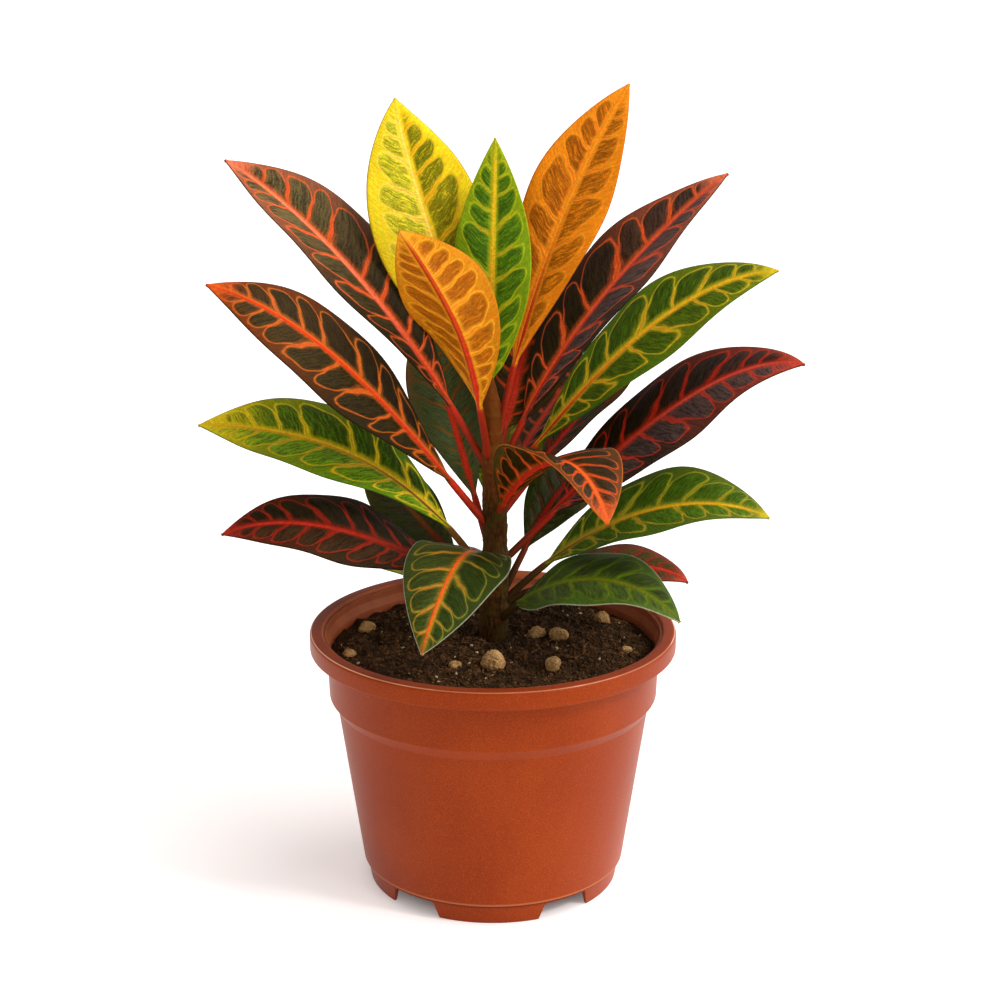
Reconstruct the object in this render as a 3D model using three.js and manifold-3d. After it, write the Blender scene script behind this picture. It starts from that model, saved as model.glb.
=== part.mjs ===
// A young croton (Codiaeum variegatum) in a moulded plastic nursery pot.
// Millimetres, +Z up. The origin is on the ground, in the middle under the pot.
// -Y is the side that the plant shows to the room.
import * as THREE from "three";
import { mergeVertices } from "three/addons/utils/BufferGeometryUtils.js";
import Module from "manifold-3d";

const wasm = await Module();
wasm.setup();

// The clearance that neighbouring pieces keep where they touch.
const SEAT_GAP = 0.3;
// Corners closer together than this are one corner.
const SAME_CORNER = 1e-3;

// Pot: a 15 cm nursery pot, measured outside.
const POT_HEIGHT = 108;
const RIM_RADIUS = 75;
const RIM_WIDTH = 5;
const RIM_DEPTH = 7.5;
const RIM_OUTER_ROUND = 1.8;
const RIM_INNER_ROUND = 0.8;
const RIM_FOOT_BEVEL = 0.6;
const COLLAR_TOP_RADIUS = 68.4;
const COLLAR_FOOT_RADIUS = 67.4;
const COLLAR_FOOT_HEIGHT = 80;
const SHOULDER_RADIUS = 63.6;
const SHOULDER_HEIGHT = 72;
const SHOULDER_ROUND = 1.4;
const SHOULDER_MIDDLE = 0.45;
const BODY_FOOT_RADIUS = 54.4;
const FLOOR_HEIGHT = 8.7;
const FLOOR_ROUND = 2;
const LEDGE_BEVEL = 0.6;
const FOOT_TOP_RADIUS = 53.2;
const FOOT_RADIUS = 51.7;
const WALL = 1.4;
const POT_SIDES = 60;
const POT_TURN = -1.8;

// Feet: the ring under the floor is cut by notches that water runs out through.
const FOOT_COUNT = 5;
const NOTCH_HEIGHT = 7.2;
const NOTCH_TOP_HALF_ANGLE = 10.8;
const NOTCH_FOOT_HALF_ANGLE = 13.5;
const NOTCH_REACH = 8;
const DRAIN_RADIUS = 4;
const DRAIN_CIRCLE = 34;
const DRAIN_SIDES = 12;

// Soil: it fills the pot to a little below the rim and is mounded round the stem.
const SOIL_EDGE_HEIGHT = 98;
const SOIL_MOUND = 5.5;
const SOIL_RELIEF = 0.7;
const SOIL_SIDES = 36;
const SOIL_RINGS = 6;
const SOIL_WALL_GAP = SEAT_GAP + 0.2;

// Stem: woody, tapering, a little crooked, with a swelling under each leaf.
const STEM_ROOT_HEIGHT = 62;
const STEM_TOP_HEIGHT = 212;
const STEM_ROOT_RADIUS = 6.4;
const STEM_TOP_RADIUS = 3.3;
const STEM_TAPER = 1.3;
const STEM_SIDES = 12;
const STEM_RINGS = 20;
const STEM_CROWN = 0.075;
const STEM_CROWN_FLAT = 0.1;
const NODE_SWELLING = 0.35;
const NODE_REACH = 3;
const NODE_DROP = 2;

// Leaves: stalk and blade grow as one piece, and the stalk is let into the stem.
const STALK_RADIUS = 1.6;
const STALK_INLET = 1;
const RIB_TIP_RADIUS = 0.45;
const RIB_SPREAD = 1.3;
const RIB_WIDEST_SHARE = 0.4;
const BLADE_THICKNESS = 0.8;
const TIP_HALF_WIDTH = 0.5;
const STALK_BLEND = 0.07;
const WIDEST_SHARE = 0.57;
const BASE_FULLNESS = 0.85;
const TIP_FULLNESS = 0.9;
const USUAL_FOLD = 0.22;
const USUAL_DROOP = 0.16;
const HALF_WAY_OUT = 0.55;
const MARGIN_WAVES = 2.4;
const MARGIN_WAVE_HEIGHT = 0.05;
const STALK_STATIONS = [0, 0.5, 0.94];
const BLADE_STATIONS = [0.03, 0.1, 0.2, 0.33, 0.47, 0.6, 0.73, 0.84, 0.93, 1];

const POT_PAINT = { colour: 0xb5502c, roughness: 0.45 };
const SOIL_PAINT = { colour: 0x33241a, roughness: 0.95 };
const BARK_PAINT = { colour: 0x5a4020, roughness: 0.8 };
const CLAY_PAINT = { colour: 0xb59468, roughness: 0.9 };

const PAINTS = {
  yellow: { colour: 0xd9c21c, roughness: 0.4 },
  green: { colour: 0x4d8f16, roughness: 0.4 },
  orange: { colour: 0xd5700f, roughness: 0.4 },
  amber: { colour: 0xb5600d, roughness: 0.4 },
  red: { colour: 0x3a1d12, roughness: 0.38 },
  lime: { colour: 0x3f7d12, roughness: 0.38 },
  forest: { colour: 0x1c4420, roughness: 0.35 },
  ember: { colour: 0x5a2a10, roughness: 0.4 },
  crimson: { colour: 0x6d1a1c, roughness: 0.38 },
};

// Each leaf: the height on the stem where its stalk leaves, two points that its midrib passes a
// third and two thirds of the way out, its tip, the width of the blade, the share of the length
// that is bare stalk, and the way its upper face looks at the stalk and at the tip.
const LEAVES = [
  {
    name: "leaf_top_yellow", paint: "yellow", height: 183,
    third: [-14, 15, 232], beyond: [-29, 26, 279], tip: [-39, 36, 318],
    width: 46, stalk: 0.17, face: [0.2, -1, 0.2], faceTip: [0.2, -1, 0.2],
  },
  {
    name: "leaf_top_green", paint: "green", height: 190,
    third: [-1, 7, 224], beyond: [0, 14, 260], tip: [1, 20, 304],
    width: 31, stalk: 0.16, face: [0, -1, 0.2], faceTip: [0, -1, 0.2], widest: 0.48,
  },
  {
    name: "leaf_top_orange", paint: "orange", height: 185,
    third: [14, 17, 233], beyond: [31, 25, 279], tip: [54, 30, 324],
    width: 35, stalk: 0.2, face: [-0.4, -0.9, 0.3], faceTip: [-0.3, -0.9, 0.4], fold: 0.35,
  },
  {
    name: "leaf_front_amber", paint: "amber", height: 180,
    third: [-8, -13, 217], beyond: [-17, -19, 243], tip: [-35, -24, 274],
    width: 34, stalk: 0.21, face: [0.5, 0.9, 0], faceTip: [0.1, 1, -0.2], fold: 0.7,
  },
  {
    name: "leaf_left_upper_red", paint: "red", height: 176,
    third: [-34, 8, 225], beyond: [-69, 18, 265], tip: [-107, 30, 294],
    width: 40, stalk: 0.16, face: [0.6, -0.6, 0.6], faceTip: [0.4, -0.5, 0.7], fold: 0.5,
  },
  {
    name: "leaf_left_middle_red", paint: "red", height: 152,
    third: [-33, -12, 193], beyond: [-67, -24, 231], tip: [-108, -28, 254],
    width: 38, stalk: 0.15, face: [0.5, -0.6, 0.6], faceTip: [0.3, -0.6, 0.7], fold: 0.1,
  },
  {
    name: "leaf_left_lower_lime", paint: "lime", height: 130,
    third: [-34, -4, 167], beyond: [-72, 4, 185], tip: [-119, 10, 190],
    width: 38, stalk: 0.18, face: [0.5, -0.6, 0.6], faceTip: [0, -0.5, 0.9], fold: 0.35,
  },
  {
    name: "leaf_left_lowest_red", paint: "red", height: 126,
    third: [-34, -10, 142], beyond: [-69, -18, 156], tip: [-107, -20, 153],
    width: 35, stalk: 0.18, face: [0.4, -0.5, 0.8], faceTip: [0, -0.5, 0.9], widest: 0.5,
  },
  {
    name: "leaf_front_drooping", paint: "forest", height: 128,
    third: [-8, -34, 150], beyond: [-17, -64, 147], tip: [-26, -80, 125],
    width: 39, stalk: 0.18, face: [0, -0.2, 1], faceTip: [0, -0.8, 0.8], widest: 0.48,
  },
  {
    name: "leaf_left_inner_green", paint: "forest", height: 141,
    third: [-12, 16, 175], beyond: [-21, 32, 201], tip: [-31, 46, 227],
    width: 30, stalk: 0.2, face: [0.2, -0.9, 0.3], faceTip: [0.1, -0.9, 0.3],
  },
  {
    name: "leaf_left_low_green", paint: "forest", height: 123,
    third: [-20, 16, 137], beyond: [-38, 32, 152], tip: [-54, 46, 170],
    width: 26, stalk: 0.2, face: [0.2, -0.8, 0.5], faceTip: [0.1, -0.8, 0.5],
  },
  {
    name: "leaf_right_upper_red", paint: "red", height: 173,
    third: [26, 12, 216], beyond: [58, 22, 256], tip: [94, 28, 289],
    width: 39, stalk: 0.14, face: [-0.6, -0.5, 0.6], faceTip: [-0.5, -0.5, 0.7], fold: 0.45, widest: 0.52,
  },
  {
    name: "leaf_right_upper_lime", paint: "lime", height: 166,
    third: [34, -12, 208], beyond: [69, -22, 243], tip: [108, -26, 259],
    width: 35, stalk: 0.16, face: [-0.5, -0.6, 0.6], faceTip: [-0.2, -0.6, 0.8], fold: 0.2,
  },
  {
    name: "leaf_right_middle_red", paint: "red", height: 136,
    third: [39, 10, 168], beyond: [80, 0, 205], tip: [120, -22, 222],
    width: 40, stalk: 0.17, face: [-0.5, -0.6, 0.7], faceTip: [-0.2, -0.5, 0.8], fold: 0.18, widest: 0.52,
  },
  {
    name: "leaf_right_inner_red", paint: "crimson", height: 156,
    third: [23, 10, 178], beyond: [44, 22, 200], tip: [67, 34, 223],
    width: 30, stalk: 0.2, face: [-0.7, -0.4, 0.5], faceTip: [-0.6, -0.4, 0.6], fold: 0.4,
  },
  {
    name: "leaf_front_folded", paint: "ember", height: 158,
    third: [18, -30, 184], beyond: [32, -56, 189], tip: [42, -76, 174],
    width: 40, stalk: 0.03, face: [-0.3, 0.7, 0.3], faceTip: [0.5, -0.7, 0.8], fold: 0.45, widest: 0.55,
  },
  {
    name: "leaf_right_lower_lime", paint: "lime", height: 119,
    third: [37, -8, 148], beyond: [72, -24, 166], tip: [107, -34, 164],
    width: 36, stalk: 0.18, face: [-0.5, -0.5, 0.7], faceTip: [0.1, -0.4, 0.9], fold: 0.4,
  },
  {
    name: "leaf_right_low_red", paint: "crimson", height: 117,
    third: [29, 8, 126], beyond: [57, 10, 130], tip: [80, 4, 125],
    width: 26, stalk: 0.12, face: [-0.2, -0.4, 0.9], faceTip: [0.2, -0.4, 0.9],
  },
  {
    name: "leaf_right_lowest_green", paint: "forest", height: 112,
    third: [23, -19, 131], beyond: [48, -35, 138], tip: [72, -50, 127],
    width: 38, stalk: 0.13, face: [-0.3, -0.3, 0.9], faceTip: [0.4, -0.4, 0.8], widest: 0.46,
  },
  {
    name: "leaf_right_inner_green", paint: "forest", height: 121,
    third: [17, 14, 144], beyond: [29, 30, 158], tip: [44, 44, 168],
    width: 26, stalk: 0.26, face: [-0.3, -0.9, 0.4], faceTip: [-0.2, -0.9, 0.4],
  },
  {
    name: "leaf_back_upper_ember", paint: "ember", height: 178,
    third: [11, 21, 210], beyond: [17, 42, 236], tip: [16, 64, 254],
    width: 42, stalk: 0.12, face: [0, -0.6, 1], faceTip: [0, 0, 1], widest: 0.45,
  },
  {
    name: "leaf_back_upper_red", paint: "red", height: 163,
    third: [20, 32, 186], beyond: [38, 58, 203], tip: [55, 78, 210],
    width: 38, stalk: 0.16, face: [-0.3, 0, 1], faceTip: [0, 0.4, 1],
  },
  {
    name: "leaf_back_middle_green", paint: "forest", height: 139,
    third: [4, 30, 168], beyond: [8, 56, 183], tip: [8, 80, 184],
    width: 38, stalk: 0.16, face: [0, 0, 1], faceTip: [0, 0.4, 1],
  },
  {
    name: "leaf_back_left_lime", paint: "lime", height: 116,
    third: [-26, 17, 121], beyond: [-53, 33, 129], tip: [-77, 46, 127],
    width: 34, stalk: 0.18, face: [0.2, 0, 1], faceTip: [0, 0.3, 1],
  },
  {
    name: "leaf_back_right_lime", paint: "lime", height: 113,
    third: [22, 20, 117], beyond: [45, 40, 122], tip: [66, 57, 121],
    width: 34, stalk: 0.18, face: [-0.2, 0, 1], faceTip: [0, 0.3, 1],
  },
  {
    name: "leaf_back_low_red", paint: "red", height: 112,
    third: [-10, 30, 122], beyond: [-19, 56, 122], tip: [-27, 79, 116],
    width: 30, stalk: 0.18, face: [0, 0, 1], faceTip: [0, 0.4, 1],
  },
];

// Clay pellets and pebbles that lie half sunk in the soil: place, then length, depth and height.
const PEBBLES = [
  { at: [-53, 20], size: [8, 7, 6.4] },
  { at: [0.5, -30.8], size: [10, 9, 8] },
  { at: [24, -30.8], size: [6.6, 6.2, 6.4] },
  { at: [27, 0], size: [9, 7, 6.4] },
  { at: [18, 4], size: [7, 6, 5.4] },
  { at: [46, 26], size: [8, 7.4, 7.2] },
  { at: [54.5, -8], size: [4.6, 4, 3.6] },
  { at: [-15, -30], size: [5.4, 4.6, 3.8] },
  { at: [-58.5, -9], size: [5.6, 5, 3.4] },
];
const PEBBLE_RISE = 0.14;
const PEBBLE_LUMPS = 0.09;
const PEBBLE_TURN = 1.3;

const vector = ([x, y, z]) => new THREE.Vector3(x, y, z);
const mix = (a, b, share) => a + (b - a) * share;
const smooth = (share) => THREE.MathUtils.smoothstep(share, 0, 1);
const radians = THREE.MathUtils.degToRad;

// Closed geometry as a solid that can be cut and joined.
function solidFrom(geometry) {
  const bare = new THREE.BufferGeometry();
  bare.setAttribute("position", geometry.getAttribute("position"));
  bare.setIndex(geometry.index);
  const merged = mergeVertices(bare, SAME_CORNER);
  const corners = [];
  const index = merged.index.array;
  for (let i = 0; i < index.length; i += 3) {
    const [a, b, c] = [index[i], index[i + 1], index[i + 2]];
    if (a !== b && b !== c && c !== a) corners.push(a, b, c);
  }
  return new wasm.Manifold(new wasm.Mesh({
    numProp: 3,
    vertProperties: merged.getAttribute("position").array,
    triVerts: new Uint32Array(corners),
  }));
}

function geometryFrom(solid) {
  const { vertProperties, triVerts } = solid.getMesh();
  const geometry = new THREE.BufferGeometry();
  geometry.setAttribute("position", new THREE.BufferAttribute(vertProperties, 3));
  geometry.setIndex(new THREE.BufferAttribute(triVerts, 1));
  geometry.computeVertexNormals();
  return geometry;
}

// A profile of [radius, height] pairs, turned round the Z axis.
function turned(profile, sides) {
  const points = profile.map(([radius, height]) => new THREE.Vector2(radius, height));
  return new THREE.LatheGeometry(points, sides).rotateX(Math.PI / 2);
}

// Rings of points joined side by side, with a cap at each end. The second half of each ring is
// split along the same diagonals as the first, so that the two faces of a blade never cross.
function loft(rings) {
  const sides = rings[0].length;
  const index = [];
  for (let i = 0; i + 1 < rings.length; i++) {
    for (let k = 0; k < sides; k++) {
      const a = i * sides + k;
      const b = i * sides + ((k + 1) % sides);
      const c = b + sides;
      const d = a + sides;
      if (k < sides / 2) index.push(a, b, c, a, c, d);
      else index.push(a, b, d, b, c, d);
    }
  }
  const last = (rings.length - 1) * sides;
  for (let k = 1; k + 1 < sides; k++) {
    index.push(0, k + 1, k);
    index.push(last, last + k, last + k + 1);
  }
  const geometry = new THREE.BufferGeometry();
  const numbers = rings.flat().flatMap((point) => point.toArray());
  geometry.setAttribute("position", new THREE.Float32BufferAttribute(numbers, 3));
  geometry.setIndex(index);
  return geometry;
}

// Pot

// A rounded edge of a profile: part of a circle about [radius, height].
function rounding([radius, height], size, from, to, steps) {
  return Array.from({ length: steps + 1 }, (_, i) => {
    const turn = radians(mix(from, to, i / steps));
    return [radius + size * Math.cos(turn), height + size * Math.sin(turn)];
  });
}

// The inner wall of the pot, from the floor up to the foot of the rim.
const INNER_WALL = [
  [BODY_FOOT_RADIUS - WALL - FLOOR_ROUND, FLOOR_HEIGHT + WALL],
  [BODY_FOOT_RADIUS - WALL, FLOOR_HEIGHT + WALL + FLOOR_ROUND],
  [SHOULDER_RADIUS - WALL, SHOULDER_HEIGHT - WALL],
  [COLLAR_FOOT_RADIUS - WALL, COLLAR_FOOT_HEIGHT + WALL],
  [COLLAR_TOP_RADIUS - WALL, POT_HEIGHT - RIM_DEPTH],
];

function potProfile() {
  const rimFoot = POT_HEIGHT - RIM_DEPTH;
  const rimOuter = [RIM_RADIUS - RIM_OUTER_ROUND, POT_HEIGHT - RIM_OUTER_ROUND];
  const rimInner = [RIM_RADIUS - RIM_WIDTH + RIM_INNER_ROUND, POT_HEIGHT - RIM_INNER_ROUND];
  const shoulderMiddle = mix(SHOULDER_HEIGHT, COLLAR_FOOT_HEIGHT, SHOULDER_MIDDLE);
  return [
    [0, FLOOR_HEIGHT],
    [FOOT_TOP_RADIUS - 2 * WALL, FLOOR_HEIGHT],
    [FOOT_RADIUS - WALL, 0],
    [FOOT_RADIUS, 0],
    [FOOT_TOP_RADIUS, FLOOR_HEIGHT - LEDGE_BEVEL],
    [BODY_FOOT_RADIUS, FLOOR_HEIGHT],
    [SHOULDER_RADIUS, SHOULDER_HEIGHT],
    [COLLAR_FOOT_RADIUS - SHOULDER_ROUND, shoulderMiddle],
    [COLLAR_FOOT_RADIUS, COLLAR_FOOT_HEIGHT],
    [COLLAR_TOP_RADIUS, POT_HEIGHT - WALL],
    [RIM_RADIUS - WALL, POT_HEIGHT - WALL],
    [RIM_RADIUS - WALL, rimFoot],
    [RIM_RADIUS - RIM_FOOT_BEVEL, rimFoot],
    [RIM_RADIUS, rimFoot + RIM_FOOT_BEVEL],
    ...rounding(rimOuter, RIM_OUTER_ROUND, 0, 90, 3),
    ...rounding(rimInner, RIM_INNER_ROUND, 90, 180, 2),
    ...INNER_WALL.toReversed(),
    [0, FLOOR_HEIGHT + WALL],
  ];
}

// A notch between two feet: wider at the ground than at the floor of the pot.
function notchAt(angle) {
  const top = FOOT_RADIUS * Math.tan(radians(NOTCH_TOP_HALF_ANGLE));
  const foot = FOOT_RADIUS * Math.tan(radians(NOTCH_FOOT_HALF_ANGLE));
  const outline = new THREE.Shape([
    new THREE.Vector2(-foot, -WALL),
    new THREE.Vector2(foot, -WALL),
    new THREE.Vector2(top, NOTCH_HEIGHT),
    new THREE.Vector2(-top, NOTCH_HEIGHT),
  ]);
  const block = new THREE.ExtrudeGeometry(outline, { depth: NOTCH_REACH, bevelEnabled: false });
  block.translate(0, 0, -NOTCH_REACH / 2);
  block.rotateX(Math.PI / 2);
  block.rotateZ(Math.PI / 2);
  block.translate(FOOT_RADIUS, 0, 0);
  block.rotateZ(radians(angle));
  return solidFrom(block);
}

function drainAt(angle, reach) {
  const drill = new THREE.CylinderGeometry(DRAIN_RADIUS, DRAIN_RADIUS, 4 * WALL, DRAIN_SIDES);
  drill.rotateX(Math.PI / 2);
  drill.translate(reach, 0, FLOOR_HEIGHT + WALL / 2);
  drill.rotateZ(radians(angle));
  return solidFrom(drill);
}

function makePot() {
  let pot = solidFrom(turned(potProfile(), POT_SIDES));
  pot = pot.subtract(drainAt(0, 0));
  for (let i = 0; i < FOOT_COUNT; i++) {
    const angle = -90 + (i + 0.5) * (360 / FOOT_COUNT);
    pot = pot.subtract(notchAt(angle));
    pot = pot.subtract(drainAt(angle, DRAIN_CIRCLE));
  }
  return pot;
}

// Stem

const stemRadius = (height) => {
  const share = Math.max(0, height - STEM_ROOT_HEIGHT) / (STEM_TOP_HEIGHT - STEM_ROOT_HEIGHT);
  return mix(STEM_ROOT_RADIUS, STEM_TOP_RADIUS, share ** STEM_TAPER);
};

// The stem leans a little to and fro as it rises.
const stemAxis = (height) => new THREE.Vector2(
  0.9 * Math.sin((height - SOIL_EDGE_HEIGHT) / 26),
  0.6 * Math.sin((height - SOIL_EDGE_HEIGHT) / 19),
);

// The bark swells just under the place where a stalk leaves.
const nodeSwelling = (height) => LEAVES.reduce((most, leaf) => {
  const away = Math.abs(leaf.height - NODE_DROP - height) / NODE_REACH;
  return Math.max(most, NODE_SWELLING * (1 - away));
}, 0);

function makeStem(clearance) {
  const rings = [];
  for (let i = 0; i <= STEM_RINGS; i++) {
    const share = i / STEM_RINGS;
    const height = mix(STEM_ROOT_HEIGHT - clearance, STEM_TOP_HEIGHT + clearance, share);
    const axis = stemAxis(height);
    const crown = Math.sqrt(Math.min(1, STEM_CROWN_FLAT + (1 - share) / STEM_CROWN));
    const radius = (stemRadius(height) + nodeSwelling(height)) * crown + clearance;
    rings.push(Array.from({ length: STEM_SIDES }, (_, k) => {
      const turn = (2 * Math.PI * k) / STEM_SIDES;
      return new THREE.Vector3(axis.x + radius * Math.cos(turn), axis.y + radius * Math.sin(turn), height);
    }));
  }
  return solidFrom(loft(rings));
}

// Leaves

// Where a stalk comes out of the stem, on the side that the leaf grows to.
function seatOf(leaf) {
  const axis = stemAxis(leaf.height);
  const outward = new THREE.Vector2(leaf.third[0], leaf.third[1]).sub(axis).normalize();
  axis.addScaledVector(outward, stemRadius(leaf.height) - STALK_INLET);
  return new THREE.Vector3(axis.x, axis.y, leaf.height);
}

// The midrib is one cubic curve from the stem to the tip, through the leaf's two points.
function midribOf(leaf) {
  const start = seatOf(leaf);
  const third = vector(leaf.third);
  const beyond = vector(leaf.beyond);
  const tip = vector(leaf.tip);
  const sum = (a, b, c, d) => new THREE.Vector3()
    .addScaledVector(start, a / 6).addScaledVector(third, b / 6)
    .addScaledVector(beyond, c / 6).addScaledVector(tip, d / 6);
  return new THREE.CubicBezierCurve3(start, sum(-5, 18, -9, 2), sum(2, -9, 18, -5), tip);
}

// Half the width of the blade at a share of its length: narrow at the stalk, drawn out to a point.
function halfWidth(leaf, share) {
  const lean = Math.log(0.5) / Math.log(leaf.widest ?? WIDEST_SHARE);
  const fullness = mix(BASE_FULLNESS, TIP_FULLNESS, share);
  return (leaf.width / 2) * Math.sin(Math.PI * share ** lean) ** fullness;
}

// How far the blade stands up from its midrib, at a share of the way out to the margin: it is
// folded along the midrib, droops again further out, and ruffles along the margin.
function bladeLift(leaf, share, half, out) {
  const fold = (leaf.fold ?? USUAL_FOLD) * Math.abs(out);
  const ruffle = MARGIN_WAVE_HEIGHT * Math.sin(2 * Math.PI * MARGIN_WAVES * share + 2 * out);
  return half * (fold + (ruffle - USUAL_DROOP) * out * out);
}

// One section across the leaf: round on the stalk, opening out into the blade with its keel.
function leafRing(leaf, midrib, along) {
  const middle = midrib.getPointAt(along);
  const ahead = midrib.getTangentAt(along);
  const face = vector(leaf.face).lerp(vector(leaf.faceTip), along);
  const up = face.addScaledVector(ahead, -face.dot(ahead)).normalize();
  const side = new THREE.Vector3().crossVectors(ahead, up);
  const share = Math.max(0, (along - leaf.stalk) / (1 - leaf.stalk));
  const half = Math.max(TIP_HALF_WIDTH, share < 1 ? halfWidth(leaf, share) : 0);
  const rib = mix(STALK_RADIUS, RIB_TIP_RADIUS, along);
  const ribShare = Math.min(RIB_WIDEST_SHARE, (RIB_SPREAD * rib) / half);
  const across = [-1, -HALF_WAY_OUT, -ribShare, 0, ribShare, HALF_WAY_OUT, 1];
  const opened = smooth(share / STALK_BLEND);
  const place = (out, k, over) => {
    const turn = (Math.PI * (k + 0.5)) / across.length;
    const keel = over ? 0 : rib * Math.max(0, 1 - Math.abs(out) / ribShare);
    const skin = bladeLift(leaf, share, half, out) + (over ? 0.5 : -0.5) * BLADE_THICKNESS - keel;
    return middle.clone()
      .addScaledVector(side, mix(-rib * Math.cos(turn), half * out, opened))
      .addScaledVector(up, mix((over ? rib : -rib) * Math.sin(turn), skin, opened));
  };
  const upper = across.map((out, k) => place(out, k, true));
  const lower = across.map((out, k) => place(out, k, false)).reverse();
  return [...upper, ...lower];
}

function makeLeaf(leaf, stemWithGap) {
  const midrib = midribOf(leaf);
  const stations = [
    ...STALK_STATIONS.map((share) => share * leaf.stalk),
    ...BLADE_STATIONS.map((share) => mix(leaf.stalk, 1, share)),
  ];
  const whole = solidFrom(loft(stations.map((along) => leafRing(leaf, midrib, along))));
  return largest(whole.subtract(stemWithGap));
}

// The biggest body of a solid that a cut has left in pieces.
function largest(solid) {
  return solid.decompose().reduce((most, body) => (body.volume() > most.volume() ? body : most));
}

// Pebbles and soil

// A rough ball of baked clay about its own middle, bigger all round by the clearance.
function pebbleBall(pebble, number, clearance) {
  const ball = new THREE.IcosahedronGeometry(0.5, 1);
  const spots = ball.getAttribute("position");
  const [length, depth, height] = pebble.size.map((side) => side + 2 * clearance);
  for (let i = 0; i < spots.count; i++) {
    const spot = new THREE.Vector3().fromBufferAttribute(spots, i);
    const waves = Math.sin(7 * spot.x + 2.1 * number) * Math.cos(6 * spot.y - number)
      + 0.8 * Math.sin(9 * spot.z + 1.7 * number);
    spot.multiplyScalar(1 + PEBBLE_LUMPS * waves);
    spots.setXYZ(i, spot.x * length, spot.y * depth, spot.z * height);
  }
  return ball;
}

// The top of the soil: a low mound, with heaps and dips a few centimetres across.
const soilHeight = (x, y) => {
  const share = Math.min(1, Math.hypot(x, y) / COLLAR_FOOT_RADIUS);
  const heaps = Math.sin(0.21 * x + 1) * Math.cos(0.17 * y) + 0.6 * Math.sin(0.37 * y + 0.29 * x);
  return SOIL_EDGE_HEIGHT + SOIL_MOUND * (1 - share ** 1.6) + SOIL_RELIEF * heaps;
};

function makeSoil(cutters) {
  const bottom = FLOOR_HEIGHT + WALL + SEAT_GAP;
  const [collarFoot, collarTop] = INNER_WALL.slice(-2);
  const rise = (SOIL_EDGE_HEIGHT - collarFoot[1]) / (collarTop[1] - collarFoot[1]);
  const edgeRadius = mix(collarFoot[0], collarTop[0], rise) - SOIL_WALL_GAP;
  const side = INNER_WALL.slice(0, -1)
    .map(([radius, height]) => [radius - SOIL_WALL_GAP, Math.max(height, bottom)]);
  const top = Array.from({ length: SOIL_RINGS + 1 }, (_, i) => {
    return [edgeRadius * (1 - i / SOIL_RINGS), SOIL_EDGE_HEIGHT];
  });
  const geometry = turned([[0, bottom], ...side, ...top], SOIL_SIDES);
  const spots = geometry.getAttribute("position");
  for (let i = 0; i < spots.count; i++) {
    const onTop = spots.getZ(i) > SOIL_EDGE_HEIGHT - 1;
    if (onTop) spots.setZ(i, soilHeight(spots.getX(i), spots.getY(i)));
  }
  return cutters.reduce((soil, cutter) => soil.subtract(cutter), solidFrom(geometry));
}

// Assembly

function piece(name, geometry, { colour, roughness }) {
  const material = new THREE.MeshStandardMaterial({ color: colour, roughness, metalness: 0 });
  const mesh = new THREE.Mesh(geometry, material);
  mesh.name = name;
  return mesh;
}

// The pebbles are placed first, because each one presses its own hollow into the soil.
const gravel = new THREE.Group();
PEBBLES.forEach((pebble, i) => {
  const [x, y] = pebble.at;
  const mesh = piece(`pebble_${i + 1}`, pebbleBall(pebble, i + 1, 0), CLAY_PAINT);
  mesh.position.set(x, y, soilHeight(x, y) + PEBBLE_RISE * pebble.size[2]);
  mesh.rotation.z = PEBBLE_TURN * (i + 1);
  mesh.updateMatrix();
  gravel.add(mesh);
});
const hollows = PEBBLES.map((pebble, i) => {
  const ball = pebbleBall(pebble, i + 1, SEAT_GAP).applyMatrix4(gravel.children[i].matrix);
  return solidFrom(ball);
});

const stemWithGap = makeStem(SEAT_GAP);
const holder = new THREE.Group();
const pot = piece("pot", geometryFrom(makePot()), POT_PAINT);
pot.rotation.z = radians(POT_TURN);
holder.add(pot, piece("soil", geometryFrom(makeSoil([stemWithGap, ...hollows])), SOIL_PAINT));

// Each leaf hangs on the stem at its own seat, which is the origin of its mesh.
const plant = new THREE.Group();
plant.add(piece("stem", geometryFrom(makeStem(0)), BARK_PAINT));
LEAVES.forEach((leaf) => {
  const seat = seatOf(leaf);
  const geometry = geometryFrom(makeLeaf(leaf, stemWithGap)).translate(-seat.x, -seat.y, -seat.z);
  const mesh = piece(leaf.name, geometry, PAINTS[leaf.paint]);
  mesh.position.copy(seat);
  plant.add(mesh);
});

const croton = new THREE.Group();
croton.add(holder, plant, gravel);

export default croton;
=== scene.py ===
# %% [markdown]
# A young croton in a nursery pot: one woody stem, 26 patterned leaves, a plastic pot and its soil.
# The frame holds the plain solids, at their real size. This lesson gives them their looks: it
# loads the frame, grows finer pieces in the same places, and paints them with nodes. It works in
# millimetres, as the frame's drawing does, and turns them into metres when a mesh is made.

# %% The frame
import math

import bmesh
import bpy
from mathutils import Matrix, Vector, noise


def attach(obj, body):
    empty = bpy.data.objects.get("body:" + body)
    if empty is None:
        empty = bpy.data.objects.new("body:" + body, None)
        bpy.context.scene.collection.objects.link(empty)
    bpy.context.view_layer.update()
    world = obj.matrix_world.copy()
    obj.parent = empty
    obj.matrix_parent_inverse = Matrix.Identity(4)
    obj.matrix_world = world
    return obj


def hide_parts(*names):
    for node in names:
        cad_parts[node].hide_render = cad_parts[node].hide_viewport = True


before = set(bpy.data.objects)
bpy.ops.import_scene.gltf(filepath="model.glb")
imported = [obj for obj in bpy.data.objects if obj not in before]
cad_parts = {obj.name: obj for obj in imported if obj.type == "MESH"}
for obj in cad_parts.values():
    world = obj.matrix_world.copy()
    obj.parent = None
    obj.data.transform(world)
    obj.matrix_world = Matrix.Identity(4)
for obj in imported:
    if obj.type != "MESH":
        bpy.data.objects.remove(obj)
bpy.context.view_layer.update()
MM = 0.001
print("nodes in the frame:", len(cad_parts))

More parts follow.
